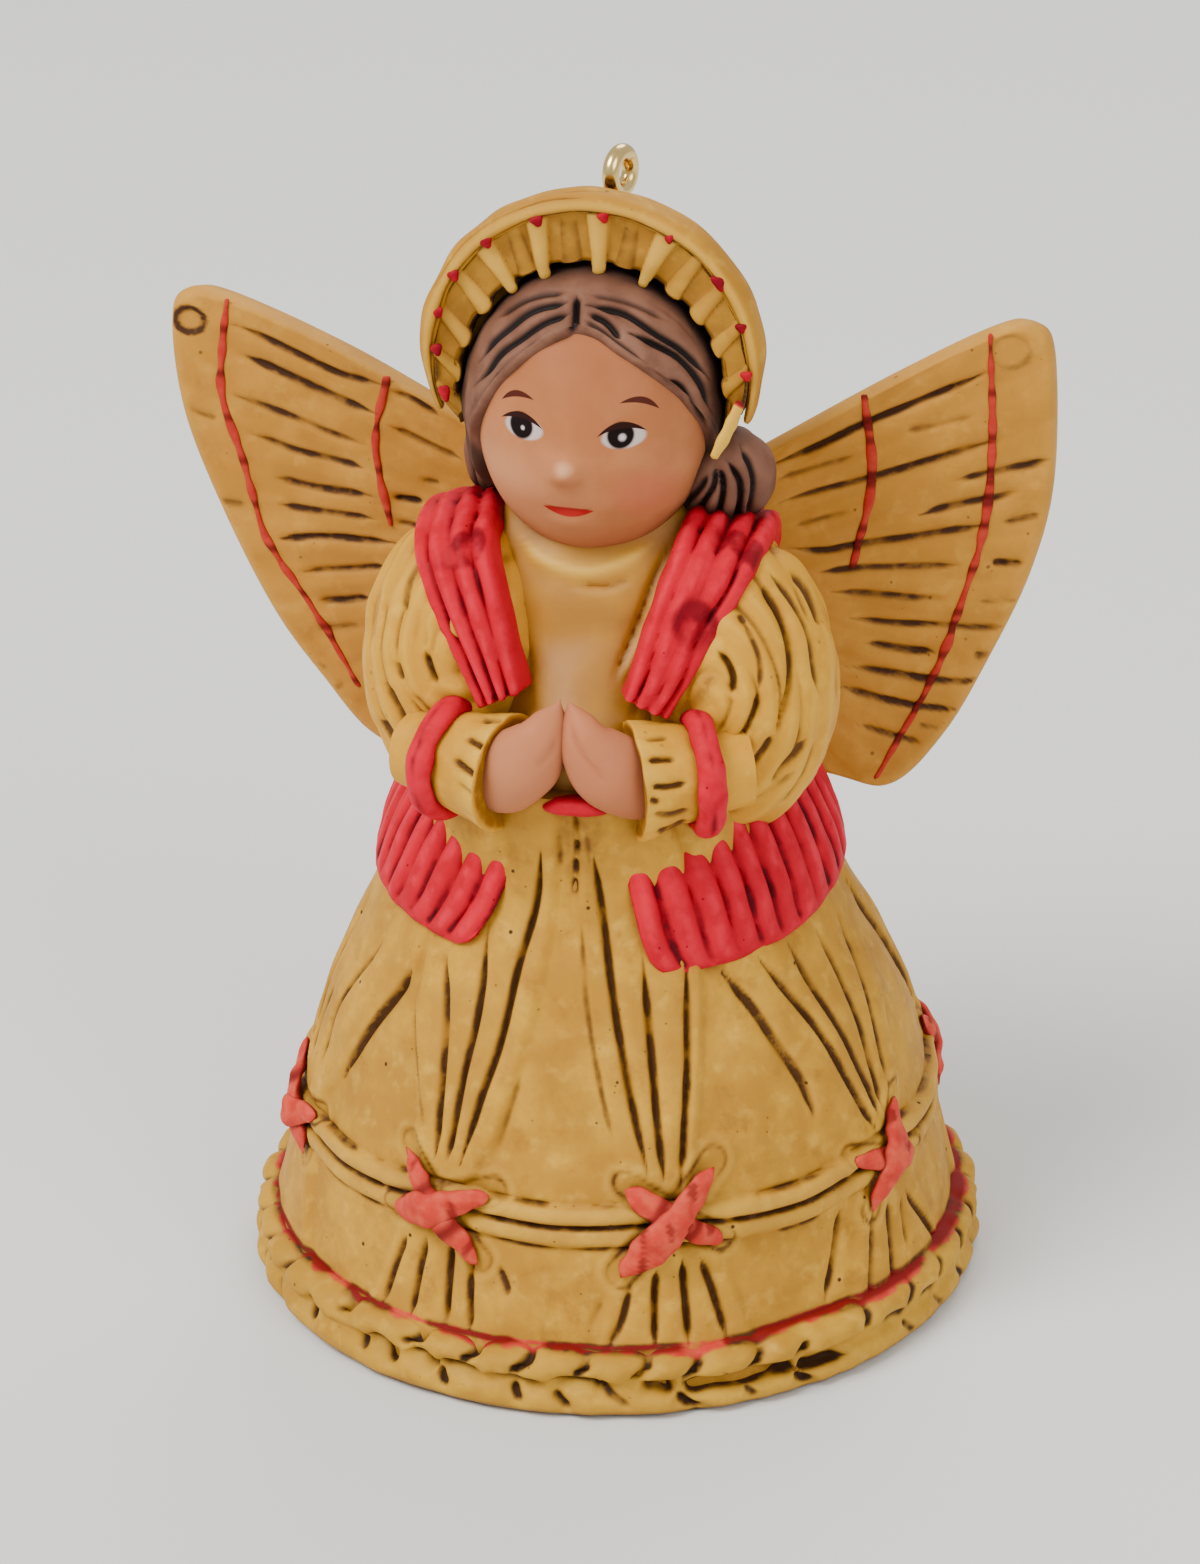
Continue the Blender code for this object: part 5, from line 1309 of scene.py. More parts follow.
def makeHair():
    line = np.array(hair["line"])
    ways = headWay(line[:, 0], line[:, 1])
    gaps = np.concatenate([[0], np.cumsum(np.linalg.norm(np.diff(ways, axis=0), axis=1))])

    def shape(across, along):
        # along goes from the left cheek to the right; across goes back over the outside, then forward underneath
        start = np.stack([softTable(np.stack([gaps, column], 1), along * gaps[-1]) for column in ways.T], -1)
        start /= np.linalg.norm(start, axis=-1, keepdims=True)
        turn, set_ = hair["rear"]
        swing = np.radians(turn * (2 * along - 1))
        end = np.stack([np.sin(swing), 0 * swing + set_, np.cos(swing)], -1)
        end /= np.linalg.norm(end, axis=-1, keepdims=True)
        over = np.clip(across / 0.84, 0, 1)
        under = np.clip((across - 0.84) / 0.16, 0, 1)
        back = (over * (1 - under)) ** 1.25
        angle = np.arccos(np.clip((start * end).sum(-1), -1, 1))
        way = (start * np.sin((1 - back) * angle)[..., None]
               + end * np.sin(back * angle)[..., None]) / np.sin(angle)[..., None]
        way /= np.linalg.norm(way, axis=-1, keepdims=True)
        lift = -0.5 + (hair["lift"] + 0.5) * dome(1 - np.clip(over / 0.07, 0, 1)) + hair["fullness"] * back
        lift = np.where(under > 0, -0.5 - 1.0 * np.sin(pi * under)
                + (hair["lift"] + hair["fullness"] + 0.5) * (1 - under) ** 6, lift)
        wide, deep, tall = head["radii"]
        middle = head["centre"]
        return (middle[0] + (wide + lift) * way[..., 0], middle[1] + (deep + lift) * way[..., 1],
                middle[2] + (tall + lift) * way[..., 2])

    def relief(across, along, place):
        x, y, z = place[..., 0], place[..., 1], place[..., 2]
        outside = ease(0.0, 0.03, across) * ease(0.83, 0.78, across)
        drawnX, drawnZ = seenAt(x, y, z, hair["plane"])
        cut = carvedLines(drawnX, drawnZ, hair["cuts"], hair["width"])
        soft = carvedLines(drawnX, drawnZ, hair["cuts"], 0.4)
        back = np.clip(across / 0.84, 0, 1)
        fine = np.zeros_like(x)
        for index in range(9):
            drift = 0.03 * np.sin(9 * along + index * 2.1)
            fine = np.maximum(fine, dip(back - 0.04 - index / 9 - drift, 0.016) * ease(0.0, 0.8,
                    wobble(x, y, z, 3.4, 60 + index)))
        # hair darker where it runs in under the frill: painted shade
        ring = np.hypot(x - bonnet["centre"][0], z - bonnet["centre"][2] + bonnet["openingDrop"])
        shadeUnderFrill = ease(bonnet["opening"] - 0.75, bonnet["opening"] - 0.2, ring) * ease(-4.8, -4.2, y)
        height = (-hair["depth"] * cut - 0.09 * soft - 0.05 * fine + 0.07 * wobble(x, y, z, 2.2, 8)) * outside
        marks = {"washAndShade": np.maximum(np.maximum(cut, fine * 0.2) * outside, shadeUnderFrill * 0.5),
                "pale": (1 - soft) * 0.5 * ease(-4.0, -5.5, y)}
        return height, marks

    return carve("hair", 104, 230, shape, relief)


def makeBun(side):
    swing = radians(side * hair["bunTurn"])
    middle = hair["centre"][side]

    def shape(across, along):
        latitude, longitude = pi * along, 2 * pi * across
        wide, deep, tall = hair["bunRadii"]
        x = wide * np.sin(latitude) * np.cos(longitude)
        y = -deep * np.cos(latitude)
        z = tall * np.sin(latitude) * np.sin(longitude)
        return (middle[0] + x * np.cos(swing) - y * np.sin(swing), middle[1] + x * np.sin(swing)
                + y * np.cos(swing),
                middle[2] + z)

    def relief(across, along, place):
        x, y, z = place[..., 0], place[..., 1], place[..., 2]
        # strands wrap down over the bun; the ones in front are drawn
        front = ease(0.58, 0.46, along) if side > 0 else 0.0 * along
        drawnX, drawnZ = seenAt(x, y, z, hair["bunPlane"])
        cut = carvedLines(drawnX, drawnZ, hair["bunCuts"], 0.15) * front
        soft = carvedLines(drawnX, drawnZ, hair["bunCuts"], 0.38) * front
        strand = ((x * side * 0.9 + y * 0.35) + 0.14 * (z - middle[2]) ** 2) * 1.2 + 0.12 * wobble(x, y, z,
                2.5, 3)
        gap = np.abs((strand + 0.5) % 1 - 0.5)
        groove = np.maximum(cut, dip(gap, 0.12) * (1 - front))
        height = -0.26 * groove - 0.14 * soft + 0.12 * (np.sin(pi * gap) - 0.5) * (1 - front)
        height += 0.04 * wobble(x, y, z, 1.3, 4)
        return height, {"washAndShade": groove}

    label = "left" if side < 0 else "right"
    return carve(f"bun_{label}", 84, 56, shape, relief)


def hairFinish():
    finish = Finish("painted_hair")
    base = finish.cloud(1.8, 3).between(0.35, 0.7).paint((0.15, 0.062, 0.036), (0.22, 0.097, 0.058))
    base = (finish.mark("pale") * finish.cloud(0.9, 3).between(0.35, 0.65) * 0.7).paint(base,
            (0.28, 0.13, 0.078))
    # near black in enclosed spots: painted shade
    soakAndShade = (1 - finish.crevice).between(0.1, 0.75) * 0.85
    base = soakAndShade.paint(base, (0.020, 0.010, 0.008))
    base = finish.mark("washAndShade").between(0.08, 0.75).paint(base, (0.011, 0.006, 0.005))
    roughness = 0.5 + finish.cloud(1.2, 3) * 0.16
    return finish.end(base, roughness, finish.cloud(0.25, 4) * 0.6 + finish.cloud(1.1, 2), 0.03, 0.15)


# Bonnet: flattened rim, pleated frill, coiled crown and the loose straw at one end

bonnet = {
    "centre": (0.0, -2.7, 46.7), "radius": 8.0, "thickness": 0.95, "depth": 2.1, "drop": 21.0,
    "opening": 6.05, "openingDrop": 1.4, "frillOutside": 7.25, "frillFront": 0.72, "frillBack": -2.0,
    # ribs of the frill: angle at the rim, angle at the opening, and strength
    "ribs": ((-101.0, -98.0, 0.4), (-87.0, -84.0, 0.45), (-72.0, -68.0, 0.5), (-56.5, -51.5, 0.55),
            (-40.9, -36.0, 0.85),
             (-28.0, -27.0, 0.25), (-18.0, -20.0, 1.0), (-7.0, -7.5, 0.2), (3.2, 3.6, 1.0),
             (17.0, 14.5, 0.2), (30.5, 25.0, 1.0),
             (44.0, 38.0, 0.4), (58.0, 52.0, 0.45), (73.0, 68.0, 0.4), (90.0, 86.0, 0.4)),
    # dots on the crease between the rim and the frill: angle, radius and length
    "dots": ((-103.1, 6.9, 1.5), (-85.9, 7.04, 1.1), (-71.8, 7.3, 1.0), (-56.5, 7.35, 1.0),
            (-38.8, 7.3, 1.05), (-18.2, 7.16, 1.1),
             (6.5, 7.14, 1.0), (31.4, 7.3, 0.7), (54.7, 7.35, 1.5), (72.7, 7.35, 0.9), (90.7, 7.25, 0.9),
             (105.7, 7.03, 1.4)),
    "dotSize": 0.27,
    "crownFront": -1.2, "crownDepth": 5.6, "crownInset": 1.3,
    "straw": ((6.95, -3.6, 45.4), (6.5, -4.3, 44.3), (5.85, -4.8, 43.0)),
}


def ringPoint(angle, radius, depth, drop=0.0):
    # the angle is from the top toward +X, and depth is toward the front
    middle = bonnet["centre"]
    turn = np.radians(angle)
    return middle[0] + radius * np.sin(turn), middle[1] - depth + 0 * turn, middle[2] - drop + radius * np.cos(turn)


def makeRim():
    reach = 90 + bonnet["drop"]
    half, deep = bonnet["thickness"] / 2, bonnet["depth"] / 2
    middle = bonnet["radius"] - half

    def shape(across, along):
        angle = reach * (2 * along - 1)
        taper = np.minimum(1, 0.35 + 0.65 * ease(0, 0.16, np.minimum(along, 1 - along)))
        taper = taper * dome(np.clip(1 - np.minimum(along, 1 - along) / 0.012, 0, 1))
        turn = 2 * pi * across
        out = np.sign(np.cos(turn)) * np.abs(np.cos(turn)) ** 0.85
        front = np.sign(np.sin(turn)) * np.abs(np.sin(turn)) ** 0.75
        return ringPoint(angle, middle + half * taper * out, deep * taper * front)

    def relief(across, along, place):
        x, y, z = place[..., 0], place[..., 1], place[..., 2]
        angle = reach * (2 * along - 1)
        # across: 0 is the outside, a quarter is the front, a half is the inside
        crease = dip(across - 0.345, 0.022)
        strong = 0.35 + 0.65 * ease(-24, -14, angle) * ease(60, 52, angle)
        line = dip(across - 0.13, 0.016) * ease(-0.3, 0.6, wobble(x, y, z, 6.0, 13)) * ease(80, 60,
                np.abs(angle))
        top = dip(across - 0.03, 0.014) * ease(0.2, 0.9, wobble(x, y, z, 3.5, 23)) * 0.6
        back = dip(across - 0.87, 0.02) * 0.7
        height = -0.16 * crease * strong - 0.12 * line - 0.1 * top - 0.1 * back
        height += 0.06 * wobble(x, y, z, 2.6, 6)
        ends = ease(88, 104, np.abs(angle)) * 0.3
        return height, {"washAndShade": crease * strong * 1.05 + line * 0.3 + top * 0.5 + back * 0.6,
                "stainAndShade": 0.35 * crease + 0.35 * line + ends,
                        "pale": dip(across - 0.24, 0.05) * 0.8}

    finishPiece(carve("bonnet_rim", 72, 304, shape, relief), bonnetStraw)


def frillRibs(angle, share):
    rib = np.zeros(np.shape(angle))
    for outer, inner, strength in bonnet["ribs"]:
        wide = (3.0 + 1.5 * (1 - share)) if strength > 0.8 else 2.6 + 2.0 * share
        off = (angle - outer - (inner - outer) * share) / wide
        rib = np.maximum(rib, dome(np.clip(off, -1, 1)) * strength)
    return rib


def makeFrill():
    reach = 90 + bonnet["drop"] - 5

    def shape(across, along):
        angle = reach * (2 * along - 1)
        # front face from the rim in to the opening, then round and back
        outer, opening = bonnet["frillOutside"], bonnet["opening"]
        front, back = bonnet["frillFront"], bonnet["frillBack"]
        stops = ((0.0, outer, front, 0.0), (0.5, opening + 0.05, front - 0.15, 1.0),
                (0.55, opening - 0.02, front - 0.3, 1.0),
                 (0.75, opening + 0.15, back, 1.0), (0.88, outer, back, 0.0), (1.0, outer, front, 0.0))
        radius, depth, drop = (np.interp(across, [stop[0] for stop in stops],
                [stop[index] for stop in stops]) for index in (1, 2, 3))
        rib = frillRibs(angle, 1.0 + 0 * angle)
        tip = dip(across - 0.53, 0.07)
        radius = radius + tip * (0.16 - 0.5 * rib)
        return ringPoint(angle, radius, depth, drop * bonnet["openingDrop"])

    def relief(across, along, place):
        x, y, z = place[..., 0], place[..., 1], place[..., 2]
        angle = reach * (2 * along - 1) + 0.7 * wobble(x, y, z, 4.0, 5)
        share = np.clip(across / 0.5, 0, 1)
        front = ease(0.58, 0.5, across)
        rib = frillRibs(angle, share)
        flank = dip(rib - 0.12, 0.12) * ease(0.05, 0.3, share)
        height = front * (0.36 * rib - 0.16) + 0.05 * wobble(x, y, z, 1.6, 6)
        # the scoops between the ribs darker: painted shade in the recesses
        recess = (1 - ease(0.0, 0.45, rib)) * front * (0.5 + 0.35 * wobble(x, y, z, 2.2, 16)) * ease(0.0,
                0.4, share)
        # the inside of the opening dark: painted shadow in the gap over the hair
        inside = ease(0.5, 0.58, across)
        return height, {"washAndShade": flank * 0.35 * front + inside * 0.9 + dip(across, 0.03) * 0.5,
                "stainAndShade": recess * 0.7,
                        "pale": ease(0.2, 0.7, rib) * front}

    finishPiece(carve("bonnet_frill", 66, 384, shape, relief), bonnetStraw)


def makeCrown():
    widest = bonnet["radius"] - bonnet["crownInset"]

    def shape(across, along):
        swing = np.clip(along / 0.92, 0, 1) * pi / 2
        y = bonnet["crownFront"] + bonnet["crownDepth"] * np.sin(swing)
        radius = np.where(along >= 0.92, 0, widest * np.cos(swing))
        y = np.where(along >= 0.92, bonnet["crownFront"] + bonnet["crownDepth"], y)
        return ringPoint(360 * across, radius, bonnet["centre"][1] - y)

    def relief(across, along, place):
        x, y, z = place[..., 0], place[..., 1], place[..., 2]
        coil = along / 0.92 * 6 + across + 0.06 * wobble(x, y, z, 4.0, 2)
        gap = np.abs((coil + 0.5) % 1 - 0.5)
        groove = dip(gap, 0.1)
        height = 0.24 * (np.sin(pi * gap) - 0.5) - 0.14 * groove + 0.04 * wobble(x, y, z, 1.8, 5)
        broken = 0.6 + 0.4 * wobble(x, y, z, 2.6, 33)
        return height * ease(0.93, 0.85, along), {"washAndShade": groove * broken, "pale": ease(0.3, 0.5, gap) * 0.3}

    finishPiece(carve("bonnet_crown", 184, 92, shape, relief), bonnetStraw)


def makeDots():
    dots = []
    for index, (angle, radius, long) in enumerate(bonnet["dots"]):
        bpy.ops.object.select_all(action="DESELECT")
        bpy.ops.mesh.primitive_uv_sphere_add(segments=20, ring_count=12, radius=1)
        dot = bpy.context.active_object
        flat = np.empty(len(dot.data.vertices) * 3)
        dot.data.vertices.foreach_get("co", flat)
        ball = flat.reshape(-1, 3) * bonnet["dotSize"]
        turn = radians(angle)
        lump = 1 + 0.16 * np.sin(3 * np.arctan2(ball[:, 2], ball[:, 0]) + index)
        outward, sideways = ball[:, 0] * lump, ball[:, 2] * lump * long
        centre = ringPoint(angle, radius - 0.04, bonnet["frillFront"] + 0.26)
        spot = np.stack([centre[0] + outward * sin(turn) + sideways * cos(turn), centre[1] + ball[:, 1] * 0.6,
                         centre[2] + outward * cos(turn) - sideways * sin(turn)], 1)
        dot.data.vertices.foreach_set("co", (spot * millimetre).ravel())
        dot.data.attributes.new("washAndShade", "FLOAT", "POINT").data.foreach_set("value",
                np.full(len(spot), 0.55, np.float32))
        bpy.ops.object.shade_smooth()
        dots.append(dot)
    finishPiece(joined("bonnet_dots", dots), jacketRed)


def makeLooseStraw():
    def shape(across, along):
        line = smoothLine(bonnet["straw"], 40)
        share = along * (len(line) - 1)
        centre = np.stack([np.interp(share, np.arange(len(line)), line[:, index]) for index in range(3)], -1)
        aside, up = axisFrame(line[-1] - line[0])[1:]
        turn = 2 * pi * across
        thick = dome(2 * along - 1) ** 0.5
        spot = centre + thick[..., None] * (0.2 * aside * np.cos(turn)[..., None]
                + 0.34 * up * np.sin(turn)[..., None])
        return spot[..., 0], spot[..., 1], spot[..., 2]

    def relief(across, along, place):
        return 0.02 * np.sin(20 * along), {"washAndShade": dip(along - 0.05, 0.05) * 0.8, "pale": 0.9,
                "paint": ease(0.16, 0.08, along)}

    finishPiece(carve("loose_straw", 20, 40, shape, relief), creamStraw)


# Wings

wings = {
    "focus": (-1.0, 33.5), "root": (2.0, 5.6), "thickness": 1.6, "cutDepth": 0.22, "cutWidth": 0.17,
    "sweep": {-1: 3.0, 1: 12.0},
    "outline": {
        -1: ((0.0, 37.6), (5.7, 40.5), (12.0, 43.75), (17.6, 46.0), (19.6, 46.1), (20.4, 44.6), (20.0, 40.0),
             (18.2, 34.8), (15.9, 29.9), (13.6, 26.6), (11.0, 23.6), (7.5, 22.8), (0.0, 25.0)),
        1: ((0.0, 37.0), (5.1, 39.8), (11.0, 43.0), (15.6, 45.2), (17.4, 45.4), (18.3, 43.8), (18.4, 37.5),
            (17.4, 32.9), (15.5, 28.5), (13.4, 24.6), (10.8, 21.9), (7.8, 22.5), (0.0, 25.0))},
    "cuts": {
        -1: [(1.0, [(17.1, 44.7), (14.2, 43.5), (11.9, 42.5), (9.9, 42.1)]),
             (0.8, [(9.3, 41.8), (8.1, 41.4), (7.0, 40.7)]),
             (1.0, [(16.9, 43.2), (14.3, 42.2), (12.3, 41.4), (10.1, 40.6)]),
             (0.9, [(9.4, 40.0), (7.7, 39.3), (6.0, 38.6)]),
             (0.8, [(17.2, 41.1), (14.7, 40.3), (12.8, 39.6), (10.7, 39.0)]),
             (0.9, [(16.5, 39.2), (14.3, 38.5), (12.3, 38.1), (10.9, 37.8)]),
             (0.9, [(15.3, 37.0), (13.3, 36.6), (10.5, 36.4)]), (1.3, [(9.4, 36.4), (8.0, 36.3)]),
             (0.8, [(15.3, 35.6), (13.0, 35.4), (10.3, 35.2)]), (0.7, [(9.3, 35.1), (8.2, 35.0)]),
             (1.1, [(15.3, 33.8), (12.8, 34.1), (9.4, 34.0)]),
             (1.0, [(14.1, 32.2), (11.9, 32.5), (9.8, 32.8)]),
             (1.0, [(13.4, 30.7), (12.3, 30.8), (10.7, 31.1)]),
             (0.5, [(13.6, 29.3), (12.6, 29.4), (11.3, 29.6)]),
             (0.6, [(19.6, 40.3), (19.0, 40.0), (18.1, 39.8)]), (0.3, [(18.2, 35.6), (17.0, 35.5)]),
             (0.7, [(7.9, 37.4), (7.1, 37.3)]), (0.4, [(13.7, 27.4), (13.2, 27.2)]),
             (0.4, [(12.8, 26.1), (12.3, 26.4)])],
        1: [(1.2, [(5.0, 38.9), (7.3, 39.8), (9.8, 41.0), (12.5, 42.1), (14.9, 43.2)]),
            (0.6, [(5.2, 38.1), (7.0, 38.7), (8.7, 39.2)]),
            (0.45, [(11.2, 40.4), (12.6, 40.6), (14.5, 41.1)]),
            (1.0, [(5.2, 36.9), (7.3, 37.5), (9.3, 38.0), (11.4, 38.6), (13.5, 39.2), (15.5, 39.8)]),
            (0.4, [(5.9, 35.7), (7.3, 36.1), (8.6, 36.4)]),
            (0.9, [(13.5, 37.8), (15.3, 38.2), (16.8, 38.5), (18.1, 38.8)]),
            (1.0, [(11.9, 36.1), (13.8, 36.6), (15.5, 36.9), (16.6, 37.2)]),
            (0.9, [(5.6, 34.6), (7.3, 34.4), (9.1, 34.7), (11.5, 35.0), (13.5, 35.3), (15.0, 35.5)]),
            (0.6, [(15.9, 35.6), (17.7, 36.0)]), (0.7,
                    [(7.1, 33.3), (9.2, 33.5), (11.8, 33.5), (13.9, 33.5)]),
            (1.1, [(15.4, 33.6), (16.9, 33.5)]), (0.9,
                    [(7.7, 32.3), (10.0, 32.1), (11.5, 31.9), (13.6, 31.7)]),
            (0.5, [(14.8, 31.6), (16.9, 31.6)]), (1.0,
                    [(8.6, 30.9), (10.6, 30.6), (13.0, 30.4), (14.8, 30.2), (16.3, 30.2)]),
            (1.1, [(9.3, 29.6), (11.1, 29.2), (12.7, 29.0)]), (0.8, [(14.7, 28.8), (15.5, 28.8)]),
            (1.0, [(8.4, 28.4), (10.3, 28.0), (12.5, 27.6), (14.0, 27.4), (15.1, 27.6)]),
            (1.0, [(8.2, 27.3), (10.0, 26.7), (11.9, 26.2), (14.0, 25.9)]),
            (0.8, [(9.0, 25.3), (10.7, 24.7), (12.2, 24.2)]),
            (0.5, [(12.0, 25.2), (13.1, 25.0)])]},
    "stitches": {
        -1: ([(17.3, 46.0), (17.7, 43.4), (17.8, 41.0), (16.9, 37.7), (15.9, 33.8), (13.7, 30.3),
              (11.5, 26.3)],
             [(9.5, 42.6), (10.2, 39.1), (9.6, 34.9)]),
        1: ([(15.1, 45.2), (15.3, 39.7), (15.0, 35.5), (14.0, 31.7), (12.6, 27.6), (9.9, 22.4)],
            [(9.2, 42.3), (9.6, 38.0), (8.7, 33.4)])},
    "tips": {-1: (19.3, 44.75, 0.75, 0.62), 1: (16.1, 44.2, 0.9, 0.8)},
    "stitchWidth": 0.2,
}


def wingLift(side, out, height):
    # how far the carving stands off the wing's flat, and its marks
    focus = wings["focus"]
    cut = carvedLines(out, height, wings["cuts"][side], wings["cutWidth"])
    shoulder = carvedLines(out, height, wings["cuts"][side], 0.55)
    ray = np.arctan2(height - focus[1], out - focus[0])
    reach = np.hypot(height - focus[1], out - focus[0])
    fine = np.sin(ray * 46 + 0.4 * wobble(out, height, 0, 6.0, 3)) * 0.5 + 0.5
    straw = dip(fine, 0.3) * ease(6, 10, reach)
    tip = wings["tips"][side]
    spot = np.hypot((out - tip[0]) / tip[2], (height - tip[1]) / tip[3])
    ring = dip(spot - 1, 0.2) * (1.0 if side < 0 else 0.25)
    relief = -wings["cutDepth"] * cut - 0.1 * shoulder - 0.045 * straw + 0.05 * wobble(out, height, 0, 3.2, 5)
    relief -= 0.16 * ease(1.2, 0.8, spot) * (1.0 if side < 0 else 0.35)
    broken = 0.75 + 0.35 * wobble(out, height, 0, 1.7, 25)
    washAndShade = np.maximum(cut * broken, ring * 0.9) + 0.12 * straw
    return relief, washAndShade, shoulder


def wingPlace(side, out, height, depth):
    sweep = radians(wings["sweep"][side])
    away = (side * cos(sweep), sin(sweep))
    thick = (-away[1], away[0])
    front = -1 if thick[1] > 0 else 1
    root = (side * wings["root"][0], wings["root"][1])
    return (root[0] + away[0] * out + front * thick[0] * depth, root[1] + away[1] * out
            + front * thick[1] * depth, height)


def makeWing(side):
    line = smoothLine(wings["outline"][side], 12)
    focus = np.array(wings["focus"])
    gaps = np.concatenate([[0], np.cumsum(np.hypot(*np.diff(line, axis=0).T))])
    gaps /= gaps[-1]

    def plan(across, along):
        # across follows the outline; along runs out over the front, round the edge and back
        edge = np.stack([np.interp(across, gaps, line[:, index]) for index in range(2)], -1)
        front = along < 0.62
        share = np.where(front, along / 0.62, (1 - along) / 0.38)
        share = 0.1 + 0.9 * share ** 0.8
        spot = focus + (edge - focus) * share[..., None]
        rim = np.linalg.norm((edge - focus), axis=-1) * (1 - share)
        ends = np.minimum(across, 1 - across) * 60
        return spot[..., 0], spot[..., 1], front, np.minimum(rim, ends)

    def shape(across, along):
        out, height, front, rim = plan(across, along)
        relief = wingLift(side, out, height)[0]
        depth = wings["thickness"] / 2 * dome(1 - np.clip(rim / 0.7, 0, 1))
        lift = relief * ease(0.1, 0.9, rim) * np.where(front, 1, 0.8)
        return wingPlace(side, out, height, np.where(front, 1, -1) * (depth + lift))

    def relief(across, along, place):
        out, height, front, rim = plan(across, along)
        washAndShade, shoulder = wingLift(side, out, height)[1:]
        edge = ease(1.0, 0.2, rim)
        return np.zeros_like(out), {"washAndShade": washAndShade * ease(0.0, 0.5, rim), "pale": edge * 0.35 + 0.12 * shoulder}

    label = "left" if side < 0 else "right"
    finishPiece(carve(f"wing_{label}", 300, 150, shape, relief, (False, False)), wingStraw)


def makeStitches(side):
    # red thread sunk a little into the straw; it darkens where it crosses a cut
    threads = []
    for line in wings["stitches"][side]:
        line = smoothLine(line, 30)

        def shape(across, along, line=line):
            share = along * (len(line) - 1)
            out = np.interp(share, np.arange(len(line)), line[:, 0])
            height = np.interp(share, np.arange(len(line)), line[:, 1])
            turn = 2 * pi * across
            full = dome(2 * along - 1) ** 0.25
            wide = wings["stitchWidth"] * (1 + 0.35 * wobble(out, height, 0, 1.5, 7)) * full
            out = out + wide * np.cos(turn)
            relief = wingLift(side, out, height)[0]
            depth = wings["thickness"] / 2 + relief * 0.8 + 0.02 + 0.09 * np.sin(turn) * full
            return wingPlace(side, out, height, depth)

        def relief(across, along, place, line=line):
            share = along * (len(line) - 1)
            out = np.interp(share, np.arange(len(line)), line[:, 0])
            height = np.interp(share, np.arange(len(line)), line[:, 1])
            cut = carvedLines(out, height, wings["cuts"][side], 0.34)
            beat = dip(np.abs((height * 0.45 + 0.5) % 1 - 0.5), 0.13) * 0.6
            return np.zeros_like(out), {"washAndShade": np.maximum(cut * 1.1, beat), "paint": 1.0}

        threads.append(carve("thread", 12, 260, shape, relief))
    label = "left" if side < 0 else "right"
    finishPiece(joined(f"wing_stitches_{label}", threads), wingStraw)


# Hanging eye

eye = {"place": (0.75, 0.9), "turn": 71.0, "wire": 0.8, "outside": 2.6, "gap": 0.3}


def brassFinish():
    finish = Finish("polished_brass")
    base = finish.cloud(0.8, 3).between(0.35, 0.7).paint((0.80, 0.56, 0.19), (0.88, 0.66, 0.27))
    # darker where the wire is enclosed: painted shade
    base = ((1 - finish.crevice).between(0.1, 0.8) * 0.7).paint(base, (0.25, 0.13, 0.03))
    roughness = 0.16 + finish.cloud(0.5, 3) * 0.12
    finish.end(base, roughness, finish.cloud(0.3, 3), 0.006)
    finish.tree.nodes["Principled BSDF"].inputs["Metallic"].default_value = 1.0
    return finish.material


def makeEye():
    x, y = eye["place"]
    widest = bonnet["radius"] - bonnet["crownInset"]
    radius = widest * (1 - ((y - bonnet["crownFront"]) / bonnet["crownDepth"]) ** 2) ** 0.5
    foot = bonnet["centre"][2] + (radius ** 2 - x ** 2) ** 0.5
    middle = foot + eye["outside"] / 2 + eye["gap"]
    bpy.ops.object.select_all(action="DESELECT")
    bpy.ops.mesh.primitive_torus_add(location=(x * millimetre, y * millimetre, middle * millimetre),
                                     rotation=(radians(90), 0, radians(eye["turn"])), major_segments=72,
                                     minor_segments=24,
                                     major_radius=(eye["outside"] - eye["wire"]) / 2 * millimetre,
                                     minor_radius=eye["wire"] / 2 * millimetre)
    loop = bpy.context.active_object
    bpy.ops.object.transform_apply(location=True, rotation=True, scale=True)
    bpy.ops.object.shade_smooth()
    bpy.ops.object.select_all(action="DESELECT")
    top = middle - (eye["outside"] - eye["wire"]) / 2
    length = top - foot + 3.6
    bpy.ops.mesh.primitive_cylinder_add(vertices=32, radius=eye["wire"] / 2 * 0.98 * millimetre,
            depth=length * millimetre,
                                        location=(x * millimetre, y * millimetre,
                                                (top - length / 2) * millimetre))
    shank = bpy.context.active_object
    bpy.ops.object.transform_apply(location=True, rotation=True, scale=True)
    bpy.ops.object.shade_smooth_by_angle(angle=radians(40))
    finishPiece(joined("wire_eye", [loop, shank]), brassFinish(), "hanging_eye")


# Putting it together

makeSkirt()
makeKnots()
makeBraid()
print("skirt, knots and hem made")
makePeplum()
chest = makeBodice()
for side in (-1, 1):
    makeBand(side)
    makeSleeve(side)
    makeCuff(side)
print("jacket, sleeves and cuffs made")


